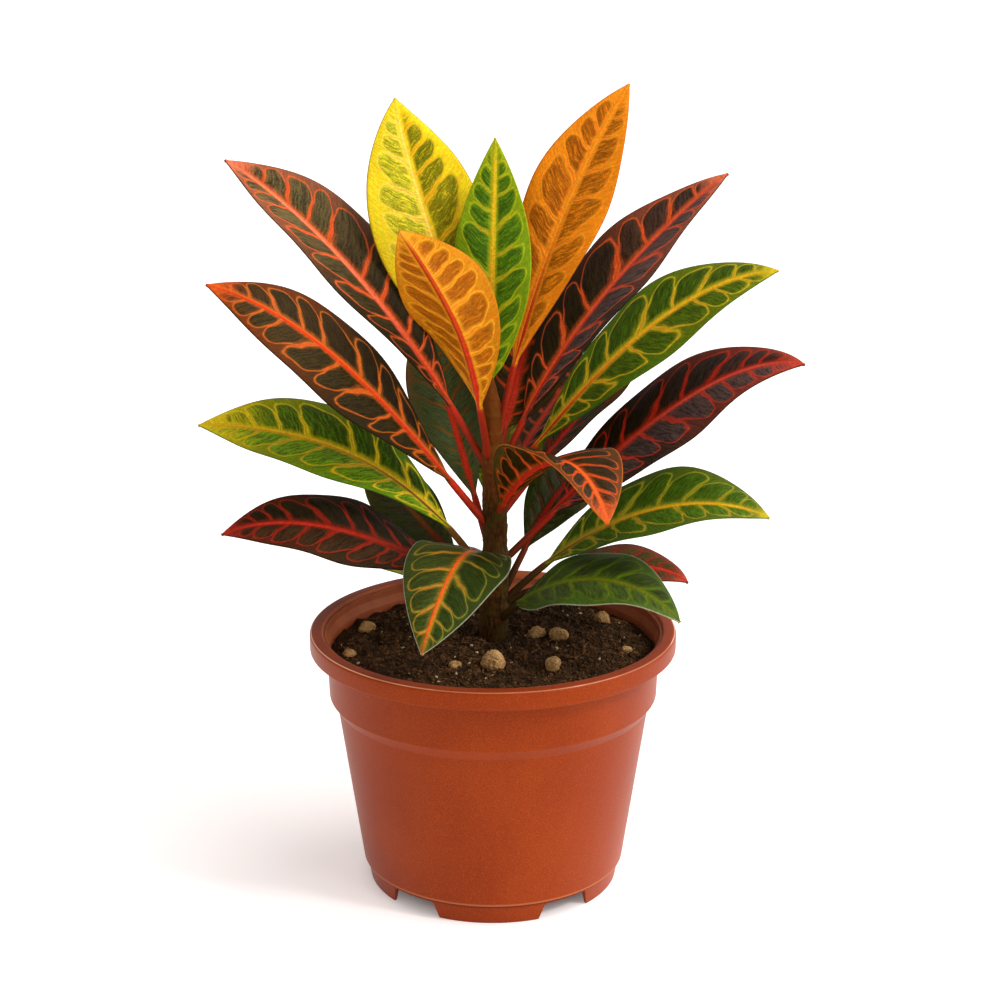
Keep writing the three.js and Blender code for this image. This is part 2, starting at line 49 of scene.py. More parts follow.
# %% [markdown]
# The camera stands a little above the plant, as far away as a person at a table, and looks down
# by 16 degrees. A camera can be aimed by an empty, but one angle says the same in one line, and
# nothing has to be cleaned up after it. A 72 mm lens keeps the leaves from looking stretched.

# %% Camera
CAMERA_PLACE = (2.9, -774.6, 385.0)
CAMERA_DIP = 16.089
LENS = 72
SENSOR = 36

camera_data = bpy.data.cameras.new("camera")
camera_data.lens = LENS
camera_data.sensor_width = SENSOR
camera_data.clip_end = 100
camera = bpy.data.objects.new("camera", camera_data)
camera.location = [side * MM for side in CAMERA_PLACE]
camera.rotation_euler = (math.radians(90 - CAMERA_DIP), 0, 0)
bpy.context.collection.objects.link(camera)
bpy.context.scene.camera = camera
print("lens:", LENS, "mm")

# %% [markdown]
# Every piece below ends in the same way: a mesh becomes an object that sits at the origin, rides
# on the plant's one body and stands for a solid of the frame. A helper keeps those lines in one
# place, so that no piece can miss one of them.

# %% From mesh to piece
def place(name, mesh, slot, *nodes):
    """Put a mesh into the scene as a piece of the plant that stands for some of its solids."""
    piece = bpy.data.objects.new(name, mesh)
    bpy.context.collection.objects.link(piece)
    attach(piece, "root")
    if nodes:
        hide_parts(*nodes)
    print(name, "has", len(mesh.polygons), "faces")
    return piece


def mesh_of(name, spots, faces):
    """A smooth mesh from points in millimetres and the corners of its faces."""
    mesh = bpy.data.meshes.new(name)
    mesh.from_pydata([Vector(spot) * MM for spot in spots], [], faces)
    mesh.shade_smooth()
    return mesh


# %% [markdown]
# The leaves need the same rule twice. Geometry Nodes use it to raise the skin between the veins,
# and the material uses it to paint the veins in the same places. A rule drawn by hand in two
# editors soon differs, so here it is written once, as arithmetic. A wire is a value on its way
# between two nodes, and adding or multiplying wires adds the node that does it, in either editor.

# %% Wires between nodes
VECTOR_TO_NUMBER = ("DOT_PRODUCT", "LENGTH")


def is_vector(value):
    if isinstance(value, Wire):
        return value.socket.type == "VECTOR"
    return not isinstance(value, (int, float))


def plug(socket, value):
    """Link a wire to a socket, or write a plain value into it."""
    if isinstance(value, Wire):
        socket.id_data.links.new(value.socket, socket)
    elif socket.type == "VECTOR" and not is_vector(value):
        socket.default_value = (value, value, value)
    else:
        socket.default_value = value


def add_node(tree, kind, inputs=(), **settings):
    """Add a node, choose its settings, and fill its inputs in their order or by their names."""
    node = tree.nodes.new(kind)
    for name, value in settings.items():
        setattr(node, name, value)
    open_sockets = [socket for socket in node.inputs if socket.enabled]
    if isinstance(inputs, dict):
        named = {socket.name: socket for socket in reversed(open_sockets)}
        for name, value in inputs.items():
            plug(named[name], value)
    else:
        for socket, value in zip(open_sockets, inputs):
            plug(socket, value)
    return node


def out_of(node, name=None):
    """The wire that leaves a node: its first open output, or the one that is named."""
    for socket in node.outputs:
        if socket.enabled and name in (None, socket.name):
            return Wire(socket)


def work(operation, *values):
    """The result of a calculation with numbers or vectors, one or more of them on wires."""
    tree = next(value for value in values if isinstance(value, Wire)).socket.id_data
    vectors = any(is_vector(value) for value in values)
    kind = "ShaderNodeVectorMath" if vectors else "ShaderNodeMath"
    node = add_node(tree, kind, values, operation=operation)
    return out_of(node, "Value" if not vectors or operation in VECTOR_TO_NUMBER else "Vector")


class Wire:
    """A number or vector between nodes. It adds and multiplies as plain numbers do."""

    def __init__(self, socket):
        self.socket = socket

    def __add__(self, other):
        return work("ADD", self, other)

    def __radd__(self, other):
        return work("ADD", other, self)

    def __sub__(self, other):
        return work("SUBTRACT", self, other)

    def __rsub__(self, other):
        return work("SUBTRACT", other, self)

    def __mul__(self, other):
        return work("MULTIPLY", self, other)

    def __rmul__(self, other):
        return work("MULTIPLY", other, self)

    def __truediv__(self, other):
        return work("DIVIDE", self, other)

    def __rtruediv__(self, other):
        return work("DIVIDE", other, self)

    def __pow__(self, other):
        return work("POWER", self, other)

    def __abs__(self):
        return work("ABSOLUTE", self)


print("wires are ready")

# %% [markdown]
# A few more calculations come up again and again: a value part of the way between two others, a
# soft step from 0 to 1, a band between two such steps, and the three parts of a vector.

# %% Mixing, steps and parts
def mixed(a, b, share):
    """A number, vector or colour that is a share of the way from a to b."""
    wires = [value for value in (a, b, share) if isinstance(value, Wire)]
    kinds = {wire.socket.type for wire in wires[:2]}
    plain_colour = any(isinstance(value, tuple) and len(value) == 4 for value in (a, b))
    if "RGBA" in kinds or plain_colour:
        kind = "RGBA"
    else:
        kind = "VECTOR" if is_vector(a) or is_vector(b) else "FLOAT"
    node = add_node(wires[0].socket.id_data, "ShaderNodeMix", (share, a, b), data_type=kind)
    return out_of(node)


def step_up(value, low, high):
    """0 below low, 1 above high, and a soft slope between them."""
    tree = value.socket.id_data
    ends = (value, low, high, 0.0, 1.0)
    return out_of(add_node(tree, "ShaderNodeMapRange", ends, interpolation_type="SMOOTHSTEP"))


def band(value, low, full, fading, gone):
    """0 below low, 1 from full to fading, and 0 again above gone, with soft slopes."""
    return step_up(value, low, full) * (1 - step_up(value, fading, gone))


def parts(vector):
    node = add_node(vector.socket.id_data, "ShaderNodeSeparateXYZ", (vector,))
    return [Wire(socket) for socket in node.outputs]


def vector_of(x, y, z):
    tree = next(value for value in (x, y, z) if isinstance(value, Wire)).socket.id_data
    return out_of(add_node(tree, "ShaderNodeCombineXYZ", (x, y, z)))


def named_inputs(tree, sockets):
    """Give a tree its inputs, as {name: kind of socket}, and return a wire from each."""
    for name, kind in sockets.items():
        tree.interface.new_socket(name=name, in_out="INPUT", socket_type=kind)
    inside = tree.nodes.new("NodeGroupInput")
    return {name: Wire(inside.outputs[name]) for name in sockets}


def cloud(spot, scale, detail=2.0, roughness=0.5):
    """Soft noise between 0 and 1 at a spot, a vector on a wire. Scale is in waves per metre."""
    inputs = {"Vector": spot, "Scale": scale, "Detail": detail, "Roughness": roughness}
    return out_of(add_node(spot.socket.id_data, "ShaderNodeTexNoise", inputs))


print("mixing and steps are ready")

# %% [markdown]
# On a croton leaf a bright midrib sends out nine to thirteen veins on each side. They leave at
# about 60 degrees, bend towards the tip and join in loops near the margin, so each side is a row
# of panels. The panels could be modelled one by one, but they follow a rule: the distance along
# the midrib, less the slant of the veins, counts the panels, and within a panel a rounded box
# gives the distance in from its veins. That distance shapes the skin and chooses the colour.
# Slow waves, shifted by side and by seed, keep one panel from looking like the next.

# %% The rule of the veins
VEIN_CURL = 0.25
CROWDING = 0.05
WOBBLE = 0.3
WOBBLE_WAVES_ACROSS = 0.9
WOBBLE_WAVES_ALONG = 0.21
WANDER = 0.14
WANDER_WAVES = 0.19
LOOP_WAVE = 0.035
LOOP_WAVES = 0.37
SIDE_STAGGER = 0.25
PANEL_POWER = 3
PANEL_HALF = 0.43
RIB_HALF_BASE = 1.6
RIB_HALF_TIP = 0.75
RIB_MOST_OF_HALF = 0.3
VEIN_HALF_INNER = 1.0
VEIN_HALF_OUTER = 0.38
VEINED_SHARES = (0.01, 0.09, 0.9, 0.98)


def vein_rule(given, share, out, half, length):
    """What lies at a spot of the blade. The spot is a share of the blade's length, and out is its
    share of the half width, negative on one side. Half and length are in millimetres there."""
    count, seed = given["Vein count"], given["Seed"]
    side = work("SIGN", out)
    outward = abs(out)
    across = outward * half
    along = share * length
    wobble_turn = WOBBLE_WAVES_ACROSS * across + WOBBLE_WAVES_ALONG * along + 2 * side + seed
    slant = given["Slant"] + given["Skew"] * side + VEIN_CURL * outward
    start = share - (slant * across + WOBBLE * work("SINE", wobble_turn)) / length
    crowded = start + CROWDING * work("SINE", start * math.tau)
    wander = WANDER * work("SINE", WANDER_WAVES * along + 1.7 * side + seed)
    phase = count * crowded + SIDE_STAGGER * side + wander
    reach = given["Reach"] + LOOP_WAVE * work("SINE", LOOP_WAVES * along + 3 * side + seed)
    to_vein = abs(2 * work("FRACT", phase) - 1) ** PANEL_POWER
    to_loop = (outward / reach) ** PANEL_POWER
    both = work("MAXIMUM", to_vein + to_loop, 0.0001)
    size = (to_vein * (PANEL_HALF * length / count) + to_loop * (reach * half)) / both
    in_panel = (1 - both ** (1 / PANEL_POWER)) * size
    rib_half = mixed(RIB_HALF_BASE, RIB_HALF_TIP, share)
    rib_half = work("MINIMUM", rib_half, RIB_MOST_OF_HALF * half)
    vein_half = mixed(VEIN_HALF_INNER, VEIN_HALF_OUTER, step_up(outward, 0.1, 0.75))
    reached = band(share, *VEINED_SHARES)
    return {
        "side": side,
        "outward": outward,
        "across": across,
        "hatch": vector_of(start * length, across, 40 * side + seed),
        "to_vein": abs(in_panel),
        "vein_half": vein_half,
        "depth": work("MINIMUM", in_panel, across - rib_half),
        "vein": (1 - step_up(abs(in_panel), 0.25 * vein_half, vein_half)) * reached,
        "rib": 1 - step_up(across, 0.7 * rib_half, 1.15 * rib_half),
        "rib_half": rib_half,
        "panel": work("FLOOR", phase) + 17 * side + seed,
        "reached": reached,
    }


print("panels for each side are counted along the midrib")

# %% [markdown]
# A leaf could be one plane that is bent by hand, but 26 leaves of one kind follow one rule, so
# Geometry Nodes grow them. A tube with many sides is the raw form: its length becomes the leaf
# from stalk to tip, the top half of its round becomes the upper skin and the rest the lower one.
# The middle of each section runs along a Bezier curve from the stem to the tip. The stalk stays
# round, and the blade opens from it with a fold, a droop and a ruffled margin.

# %% The leaf tree: the tube and its midrib
COLUMNS = 41
STATIONS = 124
STALK_STATIONS = 0.12
COLUMN_POWER = 1.25

LEAF_INPUTS = {
    "Geometry": "NodeSocketGeometry",
    "Seat": "NodeSocketVector", "Third": "NodeSocketVector",
    "Beyond": "NodeSocketVector", "Tip": "NodeSocketVector",
    "Face": "NodeSocketVector", "Face at tip": "NodeSocketVector",
    "Width": "NodeSocketFloat", "Stalk": "NodeSocketFloat",
    "Fold": "NodeSocketFloat", "Widest": "NodeSocketFloat",
    "Vein count": "NodeSocketFloat", "Reach": "NodeSocketFloat", "Slant": "NodeSocketFloat",
    "Skew": "NodeSocketFloat", "Seed": "NodeSocketFloat",
    "Upper skin": "NodeSocketMaterial", "Lower skin": "NodeSocketMaterial",
}


def tube_spots(tree):
    """For each point of the tube: its share of the length, its way round, and its way across."""
    x, y, z = parts(out_of(add_node(tree, "GeometryNodeInputPosition")))
    around = work("FRACT", work("ARCTAN2", y, x) / math.tau + 0.5 / (2 * COLUMNS))
    round_share = 1 - abs(1 - 2 * around)
    straight = (round_share * COLUMNS - 0.5) * (2 / (COLUMNS - 1)) - 1
    out = work("SIGN", straight) * abs(straight) ** COLUMN_POWER
    above = work("SIGN", 0.5 - around)
    return z + 0.5, round_share, out, above, y


def midrib_of(tree, given, along):
    """The middle of a section, and its directions ahead, sideways and up from the blade."""
    seat, third, beyond, tip = (given[name] for name in ("Seat", "Third", "Beyond", "Tip"))
    curve = add_node(tree, "GeometryNodeCurvePrimitiveBezierSegment", {
        "Resolution": 200, "Start": seat, "End": tip,
        "Start Handle": (third * 18 - seat * 5 - beyond * 9 + tip * 2) / 6,
        "End Handle": (beyond * 18 - tip * 5 - third * 9 + seat * 2) / 6,
    }, mode="POSITION")
    sample = add_node(tree, "GeometryNodeSampleCurve", mode="FACTOR")
    plug(sample.inputs["Curves"], out_of(curve))
    plug(sample.inputs["Factor"], along)
    measure = add_node(tree, "GeometryNodeCurveLength", (out_of(curve),))
    ahead = out_of(sample, "Tangent")
    face = mixed(given["Face"], given["Face at tip"], along)
    up = work("NORMALIZE", face - ahead * work("DOT_PRODUCT", face, ahead))
    return out_of(sample, "Position"), up, work("CROSS_PRODUCT", ahead, up), out_of(measure)


print("stations along a leaf:", STATIONS, "columns across it:", COLUMNS)

# %% [markdown]
# On a real leaf the skin puffs up between the veins, the midrib stands out above and below, and
# the blade is thinnest at its margin. A displacement map could do that, but here it is part of
# the shape: each of these adds a little height to the upper or the lower skin, in millimetres.

# %% The leaf tree: the form of stalk and blade
STALK_RADIUS = 1.6
RIB_TIP_RADIUS = 0.45
RIB_SPREAD = 1.3
RIB_WIDEST_SHARE = 0.4
BLADE_THICKNESS = 0.8
MARGIN_THICKNESS = 0.35
TIP_HALF_WIDTH = 0.5
STALK_BLEND = 0.07
BASE_FULLNESS = 0.85
TIP_FULLNESS = 0.9
DROOP = 0.16
MARGIN_WAVES = 2.4
MARGIN_WAVE_HEIGHT = 0.05
PUFF_HEIGHT = 0.35
PUFF_REACH = 2.6
PUFF_BELOW = 0.8
RELIEF_FROM_HALF = (2, 8)
RIDGE_HEIGHT = 0.4
LOWER_VEIN_HEIGHT = 0.3


def leaf_form(tree, given):
    """The place of each point of the leaf, and what the material needs to know about it."""
    station, round_share, out, above, height = tube_spots(tree)
    stalk = given["Stalk"]
    on_stalk = work("MINIMUM", station / STALK_STATIONS, 1)
    on_blade = work("MAXIMUM", station - STALK_STATIONS, 0) / (1 - STALK_STATIONS)
    along = on_stalk * stalk + on_blade * (1 - stalk)
    middle, up, side, whole_length = midrib_of(tree, given, along)
    share = on_blade
    length = whole_length * (1 - stalk)
    lean = math.log(0.5) / work("LOGARITHM", given["Widest"], math.e)
    swell = work("MAXIMUM", work("SINE", math.pi * share ** lean), 0)
    half = given["Width"] * 0.5 * swell ** mixed(BASE_FULLNESS, TIP_FULLNESS, share)
    half = work("MAXIMUM", half, TIP_HALF_WIDTH)
    veins = vein_rule(given, share, out, half, length)
    outward = veins["outward"]
    rib = mixed(STALK_RADIUS, RIB_TIP_RADIUS, along)
    rib_share = work("MINIMUM", RIB_SPREAD * rib / half, RIB_WIDEST_SHARE)
    opened = step_up(share, 0, STALK_BLEND)
    ruffle = MARGIN_WAVE_HEIGHT * work("SINE", math.tau * MARGIN_WAVES * share + 2 * out)
    lift = half * (given["Fold"] * outward + (ruffle - DROOP) * outward * outward)
    full = step_up(half, *RELIEF_FROM_HALF) * veins["reached"]
    puff = PUFF_HEIGHT * step_up(veins["depth"], 0, PUFF_REACH) * full
    ridge = RIDGE_HEIGHT * work("MAXIMUM", 1 - (veins["across"] / veins["rib_half"]) ** 2, 0)
    keel = rib * work("MAXIMUM", 1 - outward / rib_share, 0)
    skin = 0.5 * mixed(BLADE_THICKNESS, MARGIN_THICKNESS, outward ** 4)
    upper = lift + skin + puff + ridge
    lower = lift - skin - keel + puff * PUFF_BELOW - LOWER_VEIN_HEIGHT * veins["vein"] * full
    blade = mixed(lower, upper, 0.5 + 0.5 * above)
    turn = math.pi * round_share
    sideways = mixed(-1 * rib * work("COSINE", turn), half * out, opened)
    upwards = mixed(above * rib * work("SINE", turn), blade, opened)
    return middle + side * sideways + up * upwards, vector_of(share, out, half), length, height


print("the skin puffs up by", PUFF_HEIGHT, "mm between its veins")

# %% [markdown]
# The places above are only sums. The tree still has to make the tube, move its points there, and
# leave notes for the material. The notes are attributes: each point keeps its share of the
# length, its way across, the half width and the blade's length, and the faces of the lower skin
# are marked, so that they can wear a material of their own.

# %% The leaf tree: from tube to leaf
def make_leaf_tree():
    tree = bpy.data.node_groups.new("leaf", "GeometryNodeTree")
    given = named_inputs(tree, LEAF_INPUTS)
    tree.interface.new_socket(name="Leaf", in_out="OUTPUT", socket_type="NodeSocketGeometry")
    place_of, blade, length, height = leaf_form(tree, given)
    tube = add_node(tree, "GeometryNodeMeshCylinder", {
        "Vertices": 2 * COLUMNS, "Side Segments": STATIONS - 1, "Radius": 1.0, "Depth": 1.0,
    }, fill_type="NGON")
    made = out_of(tube, "Mesh")
    for name, kind, domain, value in (
        ("blade", "FLOAT_VECTOR", "POINT", blade),
        ("blade_length", "FLOAT", "POINT", length),
        ("underside", "FLOAT", "FACE", step_up(height, 0.0001, -0.0001)),
    ):
        note = add_node(tree, "GeometryNodeStoreNamedAttribute", data_type=kind, domain=domain)
        plug(note.inputs["Geometry"], made)
        plug(note.inputs["Name"], name)
        plug(note.inputs["Value"], value)
        made = out_of(note)
    moved = add_node(tree, "GeometryNodeSetPosition", {"Geometry": made, "Position": place_of * MM})
    solid = add_node(tree, "GeometryNodeRealizeInstances", (out_of(moved),))
    painted = add_node(tree, "GeometryNodeSetMaterial")
    plug(painted.inputs["Geometry"], out_of(solid))
    plug(painted.inputs["Material"], given["Upper skin"])
    below = add_node(tree, "GeometryNodeInputNamedAttribute", {"Name": "underside"},
                     data_type="FLOAT")
    last = add_node(tree, "GeometryNodeSetMaterial")
    plug(last.inputs["Geometry"], out_of(painted))
    plug(last.inputs["Selection"], out_of(below, "Attribute"))
    plug(last.inputs["Material"], given["Lower skin"])
    end = tree.nodes.new("NodeGroupOutput")
    plug(end.inputs["Leaf"], out_of(last))
    return tree


leaf_tree = make_leaf_tree()
print("nodes in the leaf tree:", len(leaf_tree.nodes))

# %% [markdown]
# A croton wears many colours at once. Yellow, orange, green and nearly black leaves stand on one
# stem, and on most of them the veins are lighter than the panels. Painters name their colours,
# and so does this cell, so that a leaf can say which ones it wears. Screens store colours on a
# curve, and nodes work with plain light, so each one is converted as it is read.

# %% The plant's colours
COLOURS = {
    "butter": "fbe05a", "lemon": "f2d01a", "gold": "f0b814", "honey": "e8a818",
    "maize": "dcb418", "corn": "c8b01c", "straw": "a8ae12", "khaki": "b6b022",
    "sage": "9c9f80", "hay": "9c961a", "brass": "827c1e", "lime": "869e0e",
    "pear": "84ae10", "grass": "6c8a08", "olive": "6a6a04", "moss": "566806",
    "fern": "5e740e", "grove": "50720a", "frond": "44600a", "leek": "3c6004",
    "laurel": "4e661c", "holly": "3c5416", "ivy": "2e4604", "pine": "263408",
    "forest": "2e3a10", "fir": "4c4e18", "yew": "444e2a", "lichen": "5e6440",
    "orange": "f8941c", "tangerine": "e8820e", "amber": "f0a020", "ochre": "c4760c",
    "sienna": "a05404", "copper": "c0641a", "flame": "ee5a18", "ember": "e05c22",
    "rust": "cc4e12", "coral": "f8805a", "rose": "e2503c", "scarlet": "d83408",
    "brick": "b4380c", "garnet": "c42c16", "crimson": "b82a1a", "wine": "8a1c0c",
    "maroon": "5e1608", "chestnut": "744a20", "cinnamon": "74663c", "taupe": "5e4a34",
    "coffee": "463710", "cocoa": "462a14", "bough": "38240c", "tobacco": "3c2a0c",
    "umber": "221804", "sepia": "1a1204", "drab": "32341c", "plum": "5c4844",
}


def light_of(code, share=1.0):
    """A colour as the amounts of light that nodes use, from its screen code."""
    amounts = []
    for start in (0, 2, 4):
        level = int(code[start:start + 2], 16) / 255
        linear = level / 12.92 if level <= 0.04045 else ((level + 0.055) / 1.055) ** 2.4
        amounts.append(linear * share)
    return (*amounts, 1.0)


def colour(name, share=1.0):
    return light_of(COLOURS[name], share)


print("colours:", len(COLOURS))

# %% [markdown]
# The skin of a leaf is painted by one node group, and each leaf fills in its own colours. The
# group reads the notes that the leaf tree left on the mesh and asks the rule of the veins what
# lies there. A painted picture would need a flat layout of every leaf, and it would stretch over
# the folds. The brushes come first. One makes strokes that follow the veins, with fine grain on
# top, and the others make a colour darker or lighter as a whole or speck by speck.

# %% Brushes for the leaf paint
GRAIN_SCALE = 1500
STROKE_SPREAD = (1.25, 0.24, 1.0)
STROKE_SHARE = 0.65
TEXTURE_EDGES = (0.34, 0.66)
SPECKLE_SCALE = 900
SPECKLE_SHARE = 0.36


def note_on_mesh(tree, name, output):
    return out_of(add_node(tree, "ShaderNodeAttribute", attribute_name=name), output)


def skin_texture(veins, spot):
    """Strokes along the veins with grain on top, between 0 and 1, and the grain by itself."""
    strokes = cloud(veins["hatch"] * STROKE_SPREAD, 1.0, detail=3, roughness=0.6)
    grain = cloud(spot, GRAIN_SCALE, detail=3, roughness=0.7)
    strong_strokes = STROKE_SHARE * step_up(strokes, *TEXTURE_EDGES)
    return strong_strokes + (1 - STROKE_SHARE) * step_up(grain, *TEXTURE_EDGES), grain


def toned(paint, shade):
    """A colour made darker or lighter, by one number or by one for each of red, green and blue."""
    node = add_node(paint.socket.id_data, "ShaderNodeMix", (1.0, paint), data_type="RGBA",
                    blend_type="MULTIPLY")
    plug([socket for socket in node.inputs if socket.enabled][2], shade)
    return out_of(node)


def speckles(spot, scale, share):
    """A random tint for each place: three numbers around 1, for red, green and blue."""
    inputs = {"Vector": spot, "Scale": scale, "Detail": 2.0}
    tint = out_of(add_node(spot.socket.id_data, "ShaderNodeTexNoise", inputs), "Color")
    return tint * (2 * share, 2 * share, 2 * share) + (1 - share, 1 - share, 1 - share)


print("brushes are ready")

# %% [markdown]
# The paint goes on from the ground up. The field is the colour beside the veins, and it blushes
# towards the tip. The panels lie on it with soft edges. On some leaves one half or the tip is
# paler: that is a painted sheen, which stands in for the bright room reflected there, and the
# strokes break up its edge.

# %% Ground and panels
PANEL_EDGE = -0.1
PANEL_LUCK = 0.15
PAINTED_SHEEN_TIP_REACH = (0.3, 0.95)
PAINTED_SHEEN_ON_FIELD = 0.35
BLUSH_REACH = (0.4, 0.95)
FIELD_SHOWING = 0.4


def ground_and_panels(given, share, veins, patch, texture):
    """The colour between the veins, its share of panel, and the painted sheen on this side."""
    tree = share.socket.id_data
    luck = out_of(add_node(tree, "ShaderNodeTexWhiteNoise", (veins["panel"],),
                           noise_dimensions="1D"))
    depth = veins["depth"] + 1.2 * (patch - 0.5) + 0.9 * (texture - 0.5)
    filled = step_up(depth, PANEL_EDGE, given["Softness"])
    filled = filled * (1 - PANEL_LUCK + PANEL_LUCK * luck) * veins["reached"]
    # The paler half and tip are a painted sheen, for the bright room reflected there.
    painted_sheen_side = work("MAXIMUM", veins["side"] * given["Painted sheen side"], 0)
    pale = painted_sheen_side + given["Painted sheen tip"] * step_up(share, *PAINTED_SHEEN_TIP_REACH)
    pale = work("MINIMUM", pale * (0.2 + 0.5 * patch + 1.1 * texture), 1)
    panel = mixed(given["panel"], given["pale"], pale)
    panel = mixed(panel, given["field"], FIELD_SHOWING * step_up(texture, 0.55, 0.95))
    ground = mixed(given["field"], given["pale"], PAINTED_SHEEN_ON_FIELD * pale)
    ground = mixed(ground, given["tip"], given["Blush"] * step_up(share, *BLUSH_REACH))
    return mixed(ground, panel, filled), filled, painted_sheen_side


print("panels keep at least", 1 - PANEL_LUCK, "of their strength")

# %% [markdown]
# A vein is not a hard line. It glows a little into the skin beside it, is strongest near the
# midrib and fades towards its loop, and its core takes the colour of the stalk. Tip and rim come
# next. The tip is one soft patch, and the rim is a line less than half a millimetre wide.

# %% Veins, tip and rim
VEIN_FADED = 0.66
GLOW_SPREAD = 2.4
GLOW_SHARE = 0.42
RIB_GLOW_REACH = 1.7
RIB_GLOW_SHARE = 0.4
CORE_SHARE = 0.45
TIP_FULL_SHARE = 1.03
TIP_COVER = 0.85
RIM_REACH_MM = (0.15, 0.45)
RIM_COVER = 0.8


def with_veins(skin, given, veins, grain, painted_sheen_side):
    """A skin with its side veins laid over it."""
    outward, reached = veins["outward"], veins["reached"]
    strength = mixed(1.0, VEIN_FADED, step_up(outward, 0.2, 0.85))
    strength = strength * (0.8 + 0.2 * step_up(grain, 0.35, 0.6))
    glow = (1 - step_up(veins["to_vein"], 0, GLOW_SPREAD * veins["vein_half"])) * reached
    near_rib = 1 - step_up(veins["across"] - veins["rib_half"], 0, RIB_GLOW_REACH)
    # On the side with the painted sheen, the veins take the midrib's lighter colour.
    vein = mixed(given["vein"], given["rib"], 0.8 * painted_sheen_side)
    glow = work("MAXIMUM", GLOW_SHARE * glow * strength, RIB_GLOW_SHARE * near_rib)
    skin = mixed(skin, vein, glow)
    skin = mixed(skin, vein, veins["vein"] * strength)
    core = (1 - step_up(veins["to_vein"], 0, 0.5 * veins["vein_half"])) * reached
    return mixed(skin, given["stalk"], CORE_SHARE * core * (1 - step_up(outward, 0.3, 0.75)))


def with_tip_and_rim(skin, given, share, half, veins, patch):
    at_tip = step_up(share + 0.05 * (patch - 0.5), given["Tip share"], TIP_FULL_SHARE)
    skin = mixed(skin, given["tip"], TIP_COVER * at_tip)
    rim = 1 - step_up(half - veins["across"], *RIM_REACH_MM)
    return mixed(skin, given["rim"], RIM_COVER * rim)


print("the rim is", RIM_REACH_MM[1], "mm wide")

# %% [markdown]
# The midrib starts in the colour of the stalk and takes its own towards the tip, with a lighter
# line along its middle, which is a painted highlight on the raised rib. At the stem the stalk
# turns to brown wood, and it does so further out on the old leaves low down. Both are worked out
# from where the spot is, not painted by hand.

# %% Midrib and stalk
RIB_CHANGE = (0.06, 0.66)
RIB_START = (-0.01, 0.03)
RIB_END = (0.85, 1.0)
WOODY_START = 0.006
WOODY_REACH = (0.02, 0.05)
WOODY_HEIGHT = (0.125, 0.155)
BLADE_START = (0.0, 0.025)


def with_midrib(skin, given, share, veins):
    """A skin with the midrib on it, and how much of the midrib lies at the spot."""
    rib = mixed(given["stalk"], given["rib"], step_up(share, *RIB_CHANGE))
    # On the side without the painted sheen, the midrib takes the colour of the veins.
    dull_side = work("MAXIMUM", -1 * veins["side"] * work("SIGN", given["Painted sheen side"]), 0)
    rib = mixed(rib, given["vein"], 0.6 * dull_side)
    # The lighter middle of the midrib is a painted highlight.
    middle = 1 - step_up(veins["across"], 0, 0.6 * veins["rib_half"])
    rib = toned(rib, 0.9 + 0.2 * middle)
    on_rib = veins["rib"] * step_up(share, *RIB_START) * (1 - 0.8 * step_up(share, *RIB_END))
    return mixed(skin, rib, on_rib), on_rib


def with_stalk(skin, given, share, spot):
    """A skin whose stalk wears the stalk's colour, and turns woody near the stem."""
    from_stem = work("LENGTH", spot * (1, 1, 0))
    low = 1 - step_up(parts(spot)[2], *WOODY_HEIGHT)
    woody = 1 - step_up(from_stem, WOODY_START, mixed(*WOODY_REACH, low))
    stalk = mixed(given["stalk"], colour("bough"), woody * (0.5 + 0.5 * low))
    return mixed(stalk, skin, step_up(share, *BLADE_START))


print("stalks turn woody", WOODY_REACH[0] / MM, "to", WOODY_REACH[1] / MM, "mm from the stem")

# %% [markdown]
# Now the brushes and layers come together in one group, which every leaf shares. Its inputs are
# the eight colours of a leaf, the numbers of the vein rule and the numbers of the paint. Shared
# nodes are easier to change than 52 copies, and a leaf's material stays a few nodes long.

# %% The leaf paint
PATCH_SCALE = 85
# The pale colour is a painted sheen, for the bright room reflected on a half or the tip.
LEAF_COLOURS = ("field", "panel", "pale", "vein", "rib", "stalk", "tip", "rim")
RULE_NUMBERS = ("Vein count", "Reach", "Slant", "Skew", "Seed")
PAINT_NUMBERS = ("Softness", "Texture", "Painted sheen side", "Painted sheen tip", "Tip share", "Blush")


def leaf_colour(given, share, half, veins, spot):
    """The colours of a spot, laid over each other from the ground up."""
    patch = cloud(spot, PATCH_SCALE)
    texture, grain = skin_texture(veins, spot)
    skin, filled, painted_sheen_side = ground_and_panels(given, share, veins, patch, texture)
    skin = with_veins(skin, given, veins, grain, painted_sheen_side)
    skin = with_tip_and_rim(skin, given, share, half, veins, patch)
    skin, on_rib = with_midrib(skin, given, share, veins)
    skin = with_stalk(skin, given, share, spot)
    smooth = work("MAXIMUM", on_rib, veins["vein"])
    contrast = mixed(0.35, given["Texture"], filled * (1 - smooth))
    skin = toned(skin, 1 + contrast * (texture - 0.5))
    return toned(skin, speckles(spot, SPECKLE_SCALE, SPECKLE_SHARE)), texture


